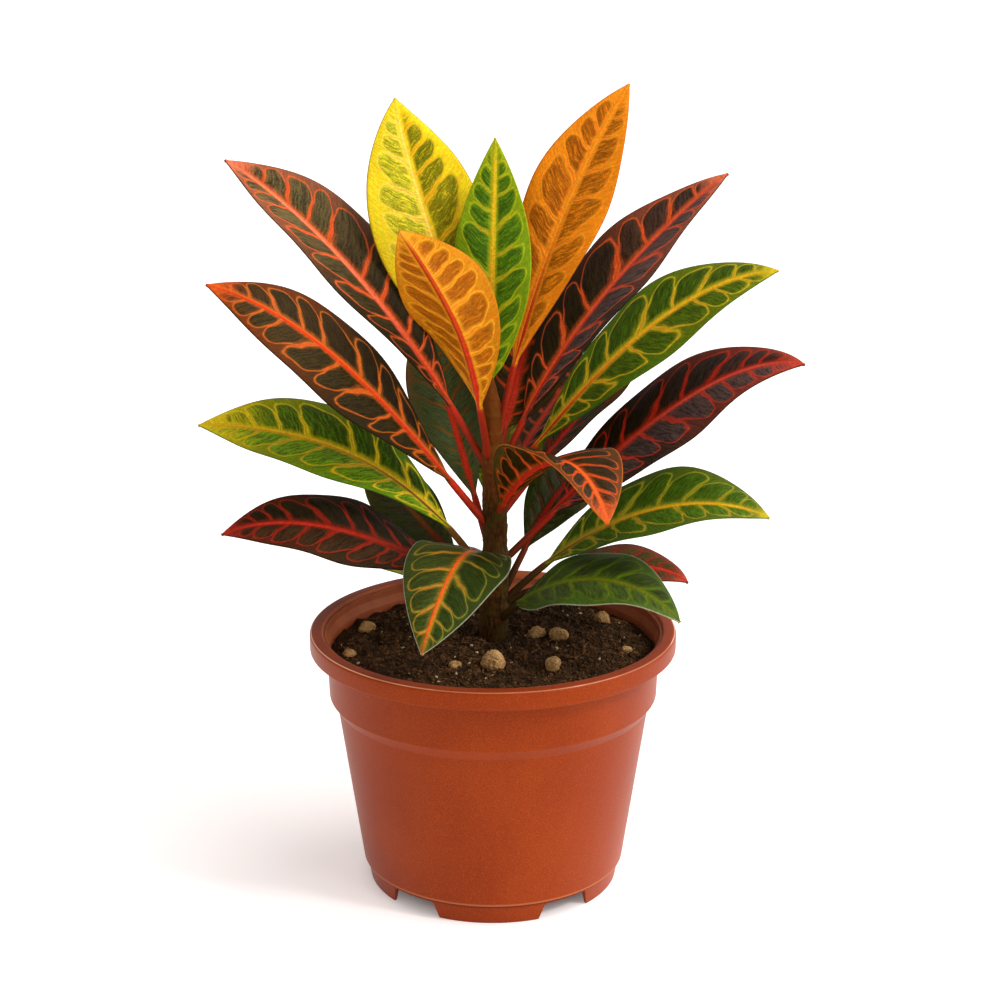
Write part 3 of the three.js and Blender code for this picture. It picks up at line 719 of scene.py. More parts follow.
def make_leaf_paint():
    tree = bpy.data.node_groups.new("leaf paint", "ShaderNodeTree")
    sockets = {name: "NodeSocketColor" for name in LEAF_COLOURS}
    sockets.update({name: "NodeSocketFloat" for name in RULE_NUMBERS + PAINT_NUMBERS})
    given = named_inputs(tree, sockets)
    for name in ("Colour", "Roughness", "Height"):
        kind = "NodeSocketColor" if name == "Colour" else "NodeSocketFloat"
        tree.interface.new_socket(name=name, in_out="OUTPUT", socket_type=kind)
    share, out, half = parts(note_on_mesh(tree, "blade", "Vector"))
    length = note_on_mesh(tree, "blade_length", "Fac")
    veins = vein_rule(given, share, out, half, length)
    spot = out_of(add_node(tree, "ShaderNodeTexCoord"), "Object")
    paint, texture = leaf_colour(given, share, half, veins, spot)
    end = tree.nodes.new("NodeGroupOutput")
    plug(end.inputs["Colour"], paint)
    plug(end.inputs["Roughness"], 0.34 + 0.25 * texture)
    plug(end.inputs["Height"], texture + 0.4 * veins["vein"])
    return tree


leaf_paint = make_leaf_paint()
print("nodes in the leaf paint:", len(leaf_paint.nodes))

# %% [markdown]
# A leaf wears two materials, one for each skin, and both use the same paint. The lower skin gets
# each colour dimmed, partly because an underside is duller and partly as painted shade, since it
# faces away from the light. A leaf that turns its back to the room brings colours of its own for
# it, undimmed. Every material of the plant starts in the same way, with a surface shader whose
# normal comes from a bump and whose sheen is tinted warm, so one helper makes that start.

# %% Two skins for a leaf
# The lower skin keeps this share of its colours' light: a duller underside, and painted shade.
UNDER_SHADED_LIGHT = 0.62
SKIN_BUMP = 0.14
SHEEN_TINT = (1.0, 0.84, 0.64, 1.0)


def new_material(name, roughness=0.5, bump=0.0, specular=0.5):
    """A material that is ready for a colour, with its tree, its surface shader and its bump. The
    bump is as high as its number says, in millimetres."""
    material = bpy.data.materials.new(name)
    material.use_nodes = True
    tree = material.node_tree
    surface = tree.nodes["Principled BSDF"]
    surface.inputs["Roughness"].default_value = roughness
    surface.inputs["Specular IOR Level"].default_value = specular
    surface.inputs["Specular Tint"].default_value = SHEEN_TINT
    relief = add_node(tree, "ShaderNodeBump", {"Strength": 1.0, "Distance": bump * MM})
    plug(surface.inputs["Normal"], out_of(relief))
    return material, tree, surface, relief


def make_skin(name, colours, numbers, share=1.0):
    material, tree, surface, relief = new_material(name, bump=SKIN_BUMP, specular=0.1)
    paint = tree.nodes.new("ShaderNodeGroup")
    paint.node_tree = leaf_paint
    for socket_name, colour_name in colours.items():
        paint.inputs[socket_name].default_value = colour(colour_name, share)
    for socket_name, value in numbers.items():
        paint.inputs[socket_name].default_value = value
    plug(surface.inputs["Base Color"], out_of(paint, "Colour"))
    plug(surface.inputs["Roughness"], out_of(paint, "Roughness"))
    plug(relief.inputs["Height"], out_of(paint, "Height"))
    return material


print("the lower skin gets", UNDER_SHADED_LIGHT, "of the colour's light")

# %% [markdown]
# The stem carries the leaves, so its line comes first: it leans a little to and fro as it rises.
# Every leaf starts at its seat, just inside the bark. A leaf is grown by an object that has
# nothing but the leaf tree as its modifier. The result is taken as a plain mesh, which stays as
# it is whatever happens to the tree. What a leaf's record leaves out comes from the usual leaf.

# %% Growing one leaf
SOIL_EDGE_HEIGHT = 98
STEM_ROOT_HEIGHT = 62
STEM_TOP_HEIGHT = 212
STEM_ROOT_RADIUS = 6.4
STEM_TOP_RADIUS = 3.3
STEM_TAPER = 1.3
STALK_INLET = 1
STEM_LEAN = (0.9, 0.6)
STEM_BENDS = (26, 19)
SEED_STEP = 1.37
LEAVES = []
USUAL_LEAF = {
    "fold": 0.22, "widest": 0.57, "vein_count": 11, "reach": 0.84, "slant": 0.62, "skew": 0.0,
    "softness": 1.1, "texture": 1.0, "painted_sheen_side": 0.0, "painted_sheen_tip": 0.0,
    "tip_share": 0.88, "blush": 0.3,
}


def stem_radius(height):
    share = max(0, height - STEM_ROOT_HEIGHT) / (STEM_TOP_HEIGHT - STEM_ROOT_HEIGHT)
    return STEM_ROOT_RADIUS + (STEM_TOP_RADIUS - STEM_ROOT_RADIUS) * share ** STEM_TAPER


def stem_axis(height):
    leans = [lean * math.sin((height - SOIL_EDGE_HEIGHT) / bend)
             for lean, bend in zip(STEM_LEAN, STEM_BENDS)]
    return Vector((*leans, height))


def seat_of(leaf):
    axis = stem_axis(leaf["height"])
    outward = Vector(leaf["third"]) - axis
    outward.z = 0
    return axis + outward.normalized() * (stem_radius(leaf["height"]) - STALK_INLET)


def mesh_from_tree(name, mesh, tree, inputs):
    """Run a geometry tree on a mesh, with its inputs set, and keep the result as a plain mesh."""
    holder = bpy.data.objects.new(name, mesh)
    bpy.context.collection.objects.link(holder)
    modifier = holder.modifiers.new(name, "NODES")
    modifier.node_group = tree
    for item in tree.interface.items_tree:
        if item.in_out == "INPUT" and item.name in inputs:
            modifier[item.identifier] = inputs[item.name]
    evaluated = holder.evaluated_get(bpy.context.evaluated_depsgraph_get())
    made = bpy.data.meshes.new_from_object(evaluated)
    made.name = name
    holder.modifiers.remove(modifier)
    bpy.data.objects.remove(holder)
    return made


def grow(leaf):
    """Grow a leaf from its record, paint it, and put it in the place of its solid."""
    leaf = USUAL_LEAF | leaf | {"seed": SEED_STEP * len(LEAVES)}
    name = "leaf_" + leaf["name"]
    numbers = {}
    for socket_name in RULE_NUMBERS + PAINT_NUMBERS:
        numbers[socket_name] = float(leaf[socket_name.lower().replace(" ", "_")])
    below = leaf.get("below", leaf["colours"])
    # The lower skin is dimmed, as a duller underside and as painted shade.
    below_shaded_light = leaf.get("below_shaded_light", UNDER_SHADED_LIGHT)
    inputs = {
        "Seat": seat_of(leaf), "Third": leaf["third"], "Beyond": leaf["beyond"], "Tip": leaf["tip"],
        "Face": leaf["face"], "Face at tip": leaf["face_tip"], "Width": float(leaf["width"]),
        "Stalk": leaf["stalk"], "Fold": leaf["fold"], "Widest": leaf["widest"],
        "Upper skin": make_skin(name + "_upper", leaf["colours"], numbers),
        "Lower skin": make_skin(name + "_lower", below, numbers, below_shaded_light),
    }
    mesh = mesh_from_tree(name, bpy.data.meshes.new(name), leaf_tree, inputs | numbers)
    mesh.shade_smooth()
    place(name + "_skin", mesh, "leaf_" + leaf["slot"], name)


def palette(**names):
    """Colour names for each part of a leaf. What isn't named follows its neighbour."""
    names.setdefault("pale", names["panel"])
    names.setdefault("tip", names["rib"])
    names.setdefault("stalk", names["rib"])
    names.setdefault("rim", names["vein"])
    return names


print("the stem is", 2 * STEM_ROOT_RADIUS, "mm thick at its root")

# %% [markdown]
# The youngest leaves stand straight up at the top. The tallest three are yellow, green and
# orange, and a fourth turns its back to the room, so that its lower skin shows. Each record says
# where the stalk leaves the stem, the two points that the midrib passes on its way to the tip,
# how wide the blade is, and which way its upper skin looks.

# %% Leaves at the top
def grow_all(*leaves):
    for leaf in leaves:
        grow(leaf)
        LEAVES.append(leaf)
    print("leaves so far:", len(LEAVES))


grow_all(
    {
        "name": "top_yellow", "slot": "yellow", "height": 183,
        "third": (-14, 15, 232), "beyond": (-29, 26, 279), "tip": (-39, 36, 318),
        "width": 46, "stalk": 0.17, "face": (0.2, -1, 0.2), "face_tip": (0.2, -1, 0.2),
        "vein_count": 11.5, "reach": 0.76, "texture": 0.8, "softness": 1.5,
        "painted_sheen_side": -0.85, "tip_share": 0.9,
        "colours": palette(field="lemon", panel="olive", pale="khaki", vein="gold", rib="butter",
                           stalk="copper", tip="lemon", rim="chestnut"),
    },
    {
        "name": "top_green", "slot": "green", "height": 190,
        "third": (-1, 7, 224), "beyond": (0, 14, 260), "tip": (1, 20, 304),
        "width": 31, "stalk": 0.16, "face": (0, -1, 0.2), "face_tip": (0, -1, 0.2), "widest": 0.48,
        "vein_count": 11.2,
        "colours": palette(field="grass", panel="leek", vein="straw", rib="maize",
                           stalk="copper", tip="straw", rim="straw"),
    },
    {
        "name": "top_orange", "slot": "orange", "height": 185,
        "third": (14, 17, 233), "beyond": (31, 25, 279), "tip": (54, 30, 324),
        "width": 35, "stalk": 0.2, "face": (-0.4, -0.9, 0.3), "face_tip": (-0.3, -0.9, 0.4),
        "fold": 0.35, "vein_count": 10.5, "reach": 0.8, "painted_sheen_side": 0.3, "softness": 1.3,
        "colours": palette(field="tangerine", panel="sienna", pale="ochre", vein="orange",
                           rib="orange", stalk="garnet", tip="orange", rim="copper"),
    },
    {
        "name": "front_amber", "slot": "amber", "height": 180,
        "third": (-8, -13, 217), "beyond": (-17, -19, 243), "tip": (-35, -24, 274),
        "width": 34, "stalk": 0.21, "face": (0.5, 0.9, 0), "face_tip": (0.1, 1, -0.2), "fold": 0.7,
        "vein_count": 12, "slant": 0.5, "skew": 0.5, "softness": 1.5, "texture": 0.8,
        "colours": palette(field="ochre", panel="sienna", vein="amber", rib="brick"),
        "below": palette(field="ochre", panel="sienna", vein="amber", rib="brick", stalk="garnet",
                         tip="amber", rim="ochre"),
        "below_shaded_light": 1.0,
    },
)

# %% [markdown]
# Older leaves lean out to the left. Croton leaves darken as they age in strong light: the veins
# keep their orange and red, while the panels turn brown and nearly black. One leaf here is lime
# green with yellow veins, and two small ones stand in the shade behind, in dull dark green.

# %% Leaves on the left
grow_all(
    {
        "name": "left_upper_red", "slot": "dark_red", "height": 176,
        "third": (-34, 8, 225), "beyond": (-69, 18, 265), "tip": (-107, 30, 294),
        "width": 40, "stalk": 0.16, "face": (0.6, -0.6, 0.6), "face_tip": (0.4, -0.5, 0.7),
        "fold": 0.5, "vein_count": 12, "painted_sheen_side": -0.12, "painted_sheen_tip": 0.55,
        "softness": 0.8, "texture": 1.4,
        "colours": palette(field="umber", panel="umber", pale="cinnamon", vein="ember",
                           rib="coral", stalk="garnet", tip="coral", rim="umber"),
    },
    {
        "name": "left_middle_red", "slot": "dark_red", "height": 152,
        "third": (-33, -12, 193), "beyond": (-67, -24, 231), "tip": (-108, -28, 254),
        "width": 38, "stalk": 0.15, "face": (0.5, -0.6, 0.6), "face_tip": (0.3, -0.6, 0.7),
        "fold": 0.1, "vein_count": 12, "painted_sheen_side": -0.2, "painted_sheen_tip": 0.3,
        "softness": 0.8, "texture": 1.3, "blush": 0.15,
        "colours": palette(field="umber", panel="sepia", pale="coffee", vein="copper",
                           rib="scarlet", stalk="garnet", tip="flame", rim="umber"),
    },
    {
        "name": "left_lower_lime", "slot": "lime", "height": 130,
        "third": (-34, -4, 167), "beyond": (-72, 4, 185), "tip": (-119, 10, 190),
        "width": 38, "stalk": 0.18, "face": (0.5, -0.6, 0.6), "face_tip": (0, -0.5, 0.9),
        "fold": 0.35, "vein_count": 10.3, "painted_sheen_side": -0.5, "painted_sheen_tip": 0.35,
        "tip_share": 0.72, "texture": 1.2, "blush": 0.3,
        "colours": palette(field="grove", panel="ivy", pale="pear", vein="lemon", rib="honey",
                           stalk="chestnut", tip="lemon", rim="leek"),
    },
    {
        "name": "left_lowest_red", "slot": "dark_red", "height": 126,
        "third": (-34, -10, 142), "beyond": (-69, -18, 156), "tip": (-107, -20, 153),
        "width": 35, "stalk": 0.18, "face": (0.4, -0.5, 0.8), "face_tip": (0, -0.5, 0.9),
        "widest": 0.5, "vein_count": 10.8, "painted_sheen_side": -0.5,
        "softness": 0.9, "texture": 1.3, "blush": 0.15,
        "colours": palette(field="umber", panel="sepia", pale="cocoa", vein="wine",
                           rib="crimson", stalk="maroon", tip="crimson", rim="sepia"),
    },
    {
        "name": "left_inner_green", "slot": "dark_green", "height": 141,
        "third": (-12, 16, 175), "beyond": (-21, 32, 201), "tip": (-31, 46, 227),
        "width": 30, "stalk": 0.2, "face": (0.2, -0.9, 0.3), "face_tip": (0.1, -0.9, 0.3),
        "colours": palette(field="yew", panel="yew", pale="lichen", vein="fir", rib="garnet",
                           rim="umber"),
    },
    {
        "name": "left_low_green", "slot": "dark_green", "height": 123,
        "third": (-20, 16, 137), "beyond": (-38, 32, 152), "tip": (-54, 46, 170),
        "width": 26, "stalk": 0.2, "face": (0.2, -0.8, 0.5), "face_tip": (0.1, -0.8, 0.5),
        "colours": palette(field="pine", panel="drab", vein="drab", rib="chestnut",
                           stalk="maroon", rim="pine"),
    },
)

# %% [markdown]
# Two leaves come towards the camera. One droops over the soil and shows its upper skin. The
# other is folded like a boat and twists on its way: near the stem its lower skin looks at the
# room, and at the tip the upper one does, so this leaf has colours for both.

# %% Leaves at the front
grow_all(
    {
        "name": "front_drooping", "slot": "dark_green", "height": 128,
        "third": (-8, -34, 150), "beyond": (-17, -64, 147), "tip": (-26, -80, 125),
        "width": 39, "stalk": 0.18, "face": (0, -0.2, 1), "face_tip": (0, -0.8, 0.8),
        "widest": 0.48, "vein_count": 9.3, "painted_sheen_side": 0.2, "tip_share": 0.95, "blush": 0.0,
        # The pale sage rim stands in for a bright line along the margin: a painted highlight.
        "colours": palette(field="forest", panel="pine", pale="fir", vein="brass", rib="flame",
                           stalk="ember", tip="copper", rim="sage"),
    },
    {
        "name": "front_folded", "slot": "brown_red", "height": 158,
        "third": (18, -30, 184), "beyond": (32, -56, 189), "tip": (42, -76, 174),
        "width": 40, "stalk": 0.03, "face": (-0.3, 0.7, 0.3), "face_tip": (0.5, -0.7, 0.8),
        "fold": 0.45, "widest": 0.55, "vein_count": 13, "slant": 0.7, "painted_sheen_tip": 0.1,
        "softness": 0.8, "texture": 1.2, "blush": 0.12,
        "colours": palette(field="tobacco", panel="umber", pale="taupe", vein="rust",
                           rib="flame", stalk="garnet", tip="ember", rim="copper"),
        "below": palette(field="coffee", panel="umber", vein="rust", rib="crimson",
                         stalk="garnet", rim="umber"),
        "below_shaded_light": 1.0,
    },
)

# %% [markdown]
# The right side is much like the left, but no two leaves are the same: some are widest near the
# stem and some lie flatter. The seed, which grows with each leaf, makes the veins of each one
# wander in their own way.

# %% Leaves on the right
grow_all(
    {
        "name": "right_upper_red", "slot": "dark_red", "height": 173,
        "third": (26, 12, 216), "beyond": (58, 22, 256), "tip": (94, 28, 289),
        "width": 39, "stalk": 0.14, "face": (-0.6, -0.5, 0.6), "face_tip": (-0.5, -0.5, 0.7),
        "fold": 0.45, "widest": 0.52, "vein_count": 10, "painted_sheen_side": 0.7, "painted_sheen_tip": 0.3,
        "softness": 0.8, "texture": 1.2,
        "colours": palette(field="umber", panel="umber", pale="plum", vein="ember", rib="rose",
                           stalk="garnet", tip="coral", rim="umber"),
    },
    {
        "name": "right_upper_lime", "slot": "lime", "height": 166,
        "third": (34, -12, 208), "beyond": (69, -22, 243), "tip": (108, -26, 259),
        "width": 35, "stalk": 0.16, "face": (-0.5, -0.6, 0.6), "face_tip": (-0.2, -0.6, 0.8),
        "fold": 0.2, "vein_count": 10.3, "painted_sheen_side": 0.3, "painted_sheen_tip": 0.2, "tip_share": 0.92,
        "softness": 1.0, "blush": 0.08,
        "colours": palette(field="frond", panel="ivy", pale="moss", vein="corn", rib="honey",
                           stalk="garnet", tip="lemon", rim="leek"),
    },
    {
        "name": "right_middle_red", "slot": "dark_red", "height": 136,
        "third": (39, 10, 168), "beyond": (80, 0, 205), "tip": (120, -22, 222),
        "width": 40, "stalk": 0.17, "face": (-0.5, -0.6, 0.7), "face_tip": (-0.2, -0.5, 0.8),
        "fold": 0.18, "widest": 0.52, "vein_count": 11.5, "painted_sheen_side": 0.6, "painted_sheen_tip": 0.3,
        "softness": 0.9, "texture": 1.1,
        "colours": palette(field="umber", panel="sepia", pale="plum", vein="garnet",
                           rib="rose", stalk="wine", tip="rose", rim="umber"),
    },
    {
        "name": "right_inner_red", "slot": "crimson", "height": 156,
        "third": (23, 10, 178), "beyond": (44, 22, 200), "tip": (67, 34, 223),
        "width": 30, "stalk": 0.2, "fold": 0.4, "face": (-0.7, -0.4, 0.5),
        "face_tip": (-0.6, -0.4, 0.6),
        "colours": palette(field="coffee", panel="drab", vein="wine", rib="garnet", rim="umber"),
    },
    {
        "name": "right_lower_lime", "slot": "lime", "height": 119,
        "third": (37, -8, 148), "beyond": (72, -24, 166), "tip": (107, -34, 164),
        "width": 36, "stalk": 0.18, "face": (-0.5, -0.5, 0.7), "face_tip": (0.1, -0.4, 0.9),
        "fold": 0.4, "vein_count": 10, "painted_sheen_side": 0.3, "painted_sheen_tip": 0.45,
        "tip_share": 0.92, "blush": 0.05,
        "colours": palette(field="holly", panel="ivy", pale="grove", vein="hay", rib="honey",
                           stalk="chestnut", tip="lemon", rim="leek"),
    },
    {
        "name": "right_low_red", "slot": "crimson", "height": 117,
        "third": (29, 8, 126), "beyond": (57, 10, 130), "tip": (80, 4, 125),
        "width": 26, "stalk": 0.12, "blush": 0.15, "face": (-0.2, -0.4, 0.9),
        "face_tip": (0.2, -0.4, 0.9),
        "colours": palette(field="cocoa", panel="coffee", vein="wine", rib="crimson",
                           stalk="maroon", tip="rose", rim="umber"),
    },
    {
        "name": "right_lowest_green", "slot": "dark_green", "height": 112,
        "third": (23, -19, 131), "beyond": (48, -35, 138), "tip": (72, -50, 127),
        "width": 38, "stalk": 0.13, "face": (-0.3, -0.3, 0.9), "face_tip": (0.4, -0.4, 0.8),
        "widest": 0.46, "vein_count": 9, "painted_sheen_side": 0.3, "softness": 1.6, "blush": 0.1,
        "colours": palette(field="holly", panel="forest", pale="laurel", vein="moss", rib="olive",
                           stalk="fern", tip="laurel", rim="sage"),
    },
    {
        "name": "right_inner_green", "slot": "dark_green", "height": 121,
        "third": (17, 14, 144), "beyond": (29, 30, 158), "tip": (44, 44, 168),
        "width": 26, "stalk": 0.26, "face": (-0.3, -0.9, 0.4), "face_tip": (-0.2, -0.9, 0.4),
        "colours": palette(field="pine", panel="drab", vein="umber", rib="wine", rim="pine"),
    },
)

# %% [markdown]
# A plant has leaves all round, so six more grow away from the camera. They are seen from the
# side and from behind, and they keep the plant from looking like a flat fan.

# %% Leaves at the back
grow_all(
    {
        "name": "back_upper_ember", "slot": "brown_red", "height": 178,
        "third": (11, 21, 210), "beyond": (17, 42, 236), "tip": (16, 64, 254),
        "width": 42, "stalk": 0.12, "face": (0, -0.6, 1), "face_tip": (0, 0, 1), "widest": 0.45,
        "colours": palette(field="coffee", panel="umber", vein="brick", rib="crimson",
                           rim="umber"),
    },
    {
        "name": "back_upper_red", "slot": "dark_red", "height": 163,
        "third": (20, 32, 186), "beyond": (38, 58, 203), "tip": (55, 78, 210),
        "width": 38, "stalk": 0.16, "face": (-0.3, 0, 1), "face_tip": (0, 0.4, 1),
        "colours": palette(field="coffee", panel="umber", vein="brick", rib="scarlet",
                           stalk="crimson", rim="umber"),
    },
    {
        "name": "back_middle_green", "slot": "dark_green", "height": 139,
        "third": (4, 30, 168), "beyond": (8, 56, 183), "tip": (8, 80, 184),
        "width": 38, "stalk": 0.16, "face": (0, 0, 1), "face_tip": (0, 0.4, 1),
        "colours": palette(field="fern", panel="ivy", vein="straw", rib="olive", stalk="copper",
                           rim="leek"),
    },
    {
        "name": "back_left_lime", "slot": "lime", "height": 116,
        "third": (-26, 17, 121), "beyond": (-53, 33, 129), "tip": (-77, 46, 127),
        "width": 34, "stalk": 0.18, "face": (0.2, 0, 1), "face_tip": (0, 0.3, 1),
        "colours": palette(field="lime", panel="moss", vein="gold", rib="amber", stalk="copper",
                           tip="gold", rim="moss"),
    },
    {
        "name": "back_right_lime", "slot": "lime", "height": 113,
        "third": (22, 20, 117), "beyond": (45, 40, 122), "tip": (66, 57, 121),
        "width": 34, "stalk": 0.18, "face": (-0.2, 0, 1), "face_tip": (0, 0.3, 1),
        "colours": palette(field="grass", panel="leek", vein="straw", rib="maize",
                           stalk="copper", tip="lemon", rim="leek"),
    },
    {
        "name": "back_low_red", "slot": "dark_red", "height": 112,
        "third": (-10, 30, 122), "beyond": (-19, 56, 122), "tip": (-27, 79, 116),
        "width": 30, "stalk": 0.18, "face": (0, 0, 1), "face_tip": (0, 0.4, 1),
        "colours": palette(field="cocoa", panel="umber", vein="brick", rib="scarlet",
                           stalk="wine", rim="umber"),
    },
)

# %% [markdown]
# The stem of a young croton is brown wood with fine cracks along it and a ring-shaped scar
# wherever a leaf has dropped. It swells under each leaf that it still has. A curve with a round
# section would be smooth, so the bark is made as rings of points, each pushed in and out by
# noise that is stretched along the stem.

# %% Stem
STEM_RINGS = 300
STEM_SIDES = 48
STEM_CROWN = 0.075
STEM_CROWN_FLAT = 0.1
NODE_SWELLING = 0.35
NODE_REACH = 3
NODE_DROP = 2
BARK_RELIEF = 0.15
SCAR_PITCH = 7.5
SCAR_HEIGHT = 0.22
SCAR_WANDER = 1.5
SCAR_SHARPNESS = 8


def tube_faces(rings, sides, closed=True):
    """The faces between rings of points that are stacked from the foot up, with their caps."""
    faces = []
    for ring in range(rings - 1):
        for step in range(sides):
            after = (step + 1) % sides
            low, high = ring * sides, (ring + 1) * sides
            faces.append((low + step, low + after, high + after, high + step))
    if closed:
        faces.append(tuple(reversed(range(sides))))
        faces.append(tuple((rings - 1) * sides + step for step in range(sides)))
    return faces


def node_swelling(height):
    nearest = min(abs(leaf["height"] - NODE_DROP - height) for leaf in LEAVES)
    return max(0, NODE_SWELLING * (1 - nearest / NODE_REACH))


def bark(turn, height):
    """How far the bark stands out at a turn and a height: cracks, then the rings of old scars."""
    around = Vector((math.cos(turn) * 1.6, math.sin(turn) * 1.6, height * 0.16))
    fine = Vector((math.cos(turn) * 5, math.sin(turn) * 5, height * 0.7))
    scar = math.sin(math.tau * (height + SCAR_WANDER * noise.noise(around)) / SCAR_PITCH)
    cracks = BARK_RELIEF * (noise.noise(around) + 0.6 * noise.noise(fine))
    return cracks + SCAR_HEIGHT * max(0, scar) ** SCAR_SHARPNESS


def make_stem():
    spots = []
    for ring in range(STEM_RINGS + 1):
        share = ring / STEM_RINGS
        height = STEM_ROOT_HEIGHT + (STEM_TOP_HEIGHT - STEM_ROOT_HEIGHT) * share
        crown = math.sqrt(min(1, STEM_CROWN_FLAT + (1 - share) / STEM_CROWN))
        for step in range(STEM_SIDES):
            turn = math.tau * step / STEM_SIDES
            radius = (stem_radius(height) + node_swelling(height) + bark(turn, height)) * crown
            spots.append(stem_axis(height) + radius * Vector((math.cos(turn), math.sin(turn), 0)))
    return mesh_of("stem", spots, tube_faces(STEM_RINGS + 1, STEM_SIDES))


stem = place("stem_bark", make_stem(), "bark", "stem")

# %% [markdown]
# Bark is dull and uneven. Its colour is mixed from a dark and a warm brown by noise that is drawn
# out along the stem. Olive blots lie over that, and near the top, where the wood is young, it
# turns orange-brown.

# %% Bark
BARK_TONES = {"dark": "180c02", "warm": "54300a", "olive": "3a340a", "young": "8a4410"}
YOUNG_WOOD = (0.15, 0.19)


def make_bark():
    material, tree, surface, relief = new_material("bark", 0.8, bump=0.35, specular=0.15)
    tone = {name: light_of(code) for name, code in BARK_TONES.items()}
    spot = out_of(add_node(tree, "ShaderNodeTexCoord"), "Object")
    streaks = cloud(spot * (1, 1, 0.25), 900, detail=4, roughness=0.6)
    blots = cloud(spot, 160, detail=3)
    brown = mixed(tone["dark"], tone["warm"], step_up(streaks, 0.3, 0.7))
    brown = mixed(brown, tone["olive"], 0.75 * step_up(blots, 0.42, 0.7))
    brown = mixed(brown, tone["young"], 0.45 * step_up(parts(spot)[2], *YOUNG_WOOD))
    plug(surface.inputs["Base Color"], brown)
    plug(relief.inputs["Height"], streaks + 0.5 * cloud(spot, 2500))
    return material


stem.data.materials.append(make_bark())
print("bark is on the stem")

# %% [markdown]
# The pot is moulded in one shot of plastic: a tapered body, a shoulder, a collar, and a rolled
# rim that hangs down like a lip. Such a form is turned. Its outline is drawn once, from the
# middle of the floor out, up and back in, and swept round the axis in 240 steps. The round edges
# are small curves in the outline, which is plainer than a Bevel modifier and always the same.

# %% Outline of the pot
POT_HEIGHT = 108
RIM_RADIUS = 75
RIM_WIDTH = 5
RIM_DEPTH = 7.5
COLLAR_TOP_RADIUS = 68.4
COLLAR_FOOT_RADIUS = 67.4
COLLAR_FOOT_HEIGHT = 80.6
SHOULDER_RADIUS = 64.2
SHOULDER_HEIGHT = 76
BODY_FOOT_RADIUS = 54.4
FLOOR_HEIGHT = 8.7
FLOOR_ROUND = 2
LEDGE_BEVEL = 0.6
FOOT_TOP_RADIUS = 53.2
FOOT_RADIUS = 51.7
WALL = 1.4
POT_SIDES = 240
POT_TURN = -1.8


def rounded(corners, steps=5):
    """An outline from corners given as (radius, height, rounding). Each becomes a small curve."""
    outline = []
    for i, (radius, height, size) in enumerate(corners):
        corner = Vector((radius, height))
        if not size:
            outline.append(corner)
            continue
        before = Vector(corners[i - 1][:2]) - corner
        after = Vector(corners[i + 1][:2]) - corner
        reach = size / math.tan(before.angle(after) / 2)
        start = corner + before.normalized() * reach
        end = corner + after.normalized() * reach
        for step in range(steps + 1):
            share = step / steps
            outline.append(start.lerp(corner, share).lerp(corner.lerp(end, share), share))
    return outline


def pot_outline():
    rim_foot = POT_HEIGHT - RIM_DEPTH
    return rounded([
        (0, FLOOR_HEIGHT, 0),
        (FOOT_TOP_RADIUS - 2 * WALL, FLOOR_HEIGHT, 0),
        (FOOT_RADIUS - WALL, 0, 0.4),
        (FOOT_RADIUS, 0, 0.4),
        (FOOT_TOP_RADIUS, FLOOR_HEIGHT - LEDGE_BEVEL, 0.3),
        (BODY_FOOT_RADIUS, FLOOR_HEIGHT, 0.5),
        (SHOULDER_RADIUS, SHOULDER_HEIGHT, 1.6),
        (COLLAR_FOOT_RADIUS, COLLAR_FOOT_HEIGHT, 1.4),
        (COLLAR_TOP_RADIUS, POT_HEIGHT - WALL, 0.4),
        (RIM_RADIUS - WALL, POT_HEIGHT - WALL, 0.5),
        (RIM_RADIUS - WALL, rim_foot, 0.3),
        (RIM_RADIUS, rim_foot, 0.6),
        (RIM_RADIUS, POT_HEIGHT, 1.8),
        (RIM_RADIUS - RIM_WIDTH, POT_HEIGHT, 0.8),
        (COLLAR_TOP_RADIUS - WALL, rim_foot, 1.2),
        (COLLAR_FOOT_RADIUS - WALL, COLLAR_FOOT_HEIGHT + WALL, 1.2),
        (SHOULDER_RADIUS - WALL, SHOULDER_HEIGHT - WALL, 2),
        (BODY_FOOT_RADIUS - WALL, FLOOR_HEIGHT + WALL, FLOOR_ROUND),
        (0, FLOOR_HEIGHT + WALL, 0),
    ])


print("points in the outline:", len(pot_outline()))

# %% [markdown]
# Sweeping the outline is one loop. Each of its two ends on the axis would make 240 points in one
# place, so it is kept as a single point, and the faces round it are triangles.

# %% Turning the pot
def turned(name, outline, sides):
    """Sweep an outline of (radius, height) round the axis. It starts and ends on the axis."""
    spots = [Vector((0, 0, outline[0][1])), Vector((0, 0, outline[-1][1]))]
    for radius, height in outline[1:-1]:
        for step in range(sides):
            turn = math.tau * step / sides
            spots.append(Vector((radius * math.cos(turn), radius * math.sin(turn), height)))
    rings = len(outline) - 2
    wall = tube_faces(rings, sides, closed=False)
    faces = [tuple(corner + 2 for corner in face) for face in wall]
    last = 2 + (rings - 1) * sides
    for step in range(sides):
        after = (step + 1) % sides
        faces.append((0, 2 + after, 2 + step))
        faces.append((1, last + step, last + after))
    return mesh_of(name, spots, faces)


pot_mesh = turned("pot", pot_outline(), POT_SIDES)
print("faces in the turned pot:", len(pot_mesh.polygons))

# %% [markdown]
# Water leaves through holes in the floor and runs out between five feet. Holes are cuts, so they
# are made as cuts: one Boolean modifier takes a mesh of drills and wedges away from the turned
# pot. The wedges are wider at the ground, as the gaps of a moulded foot are.

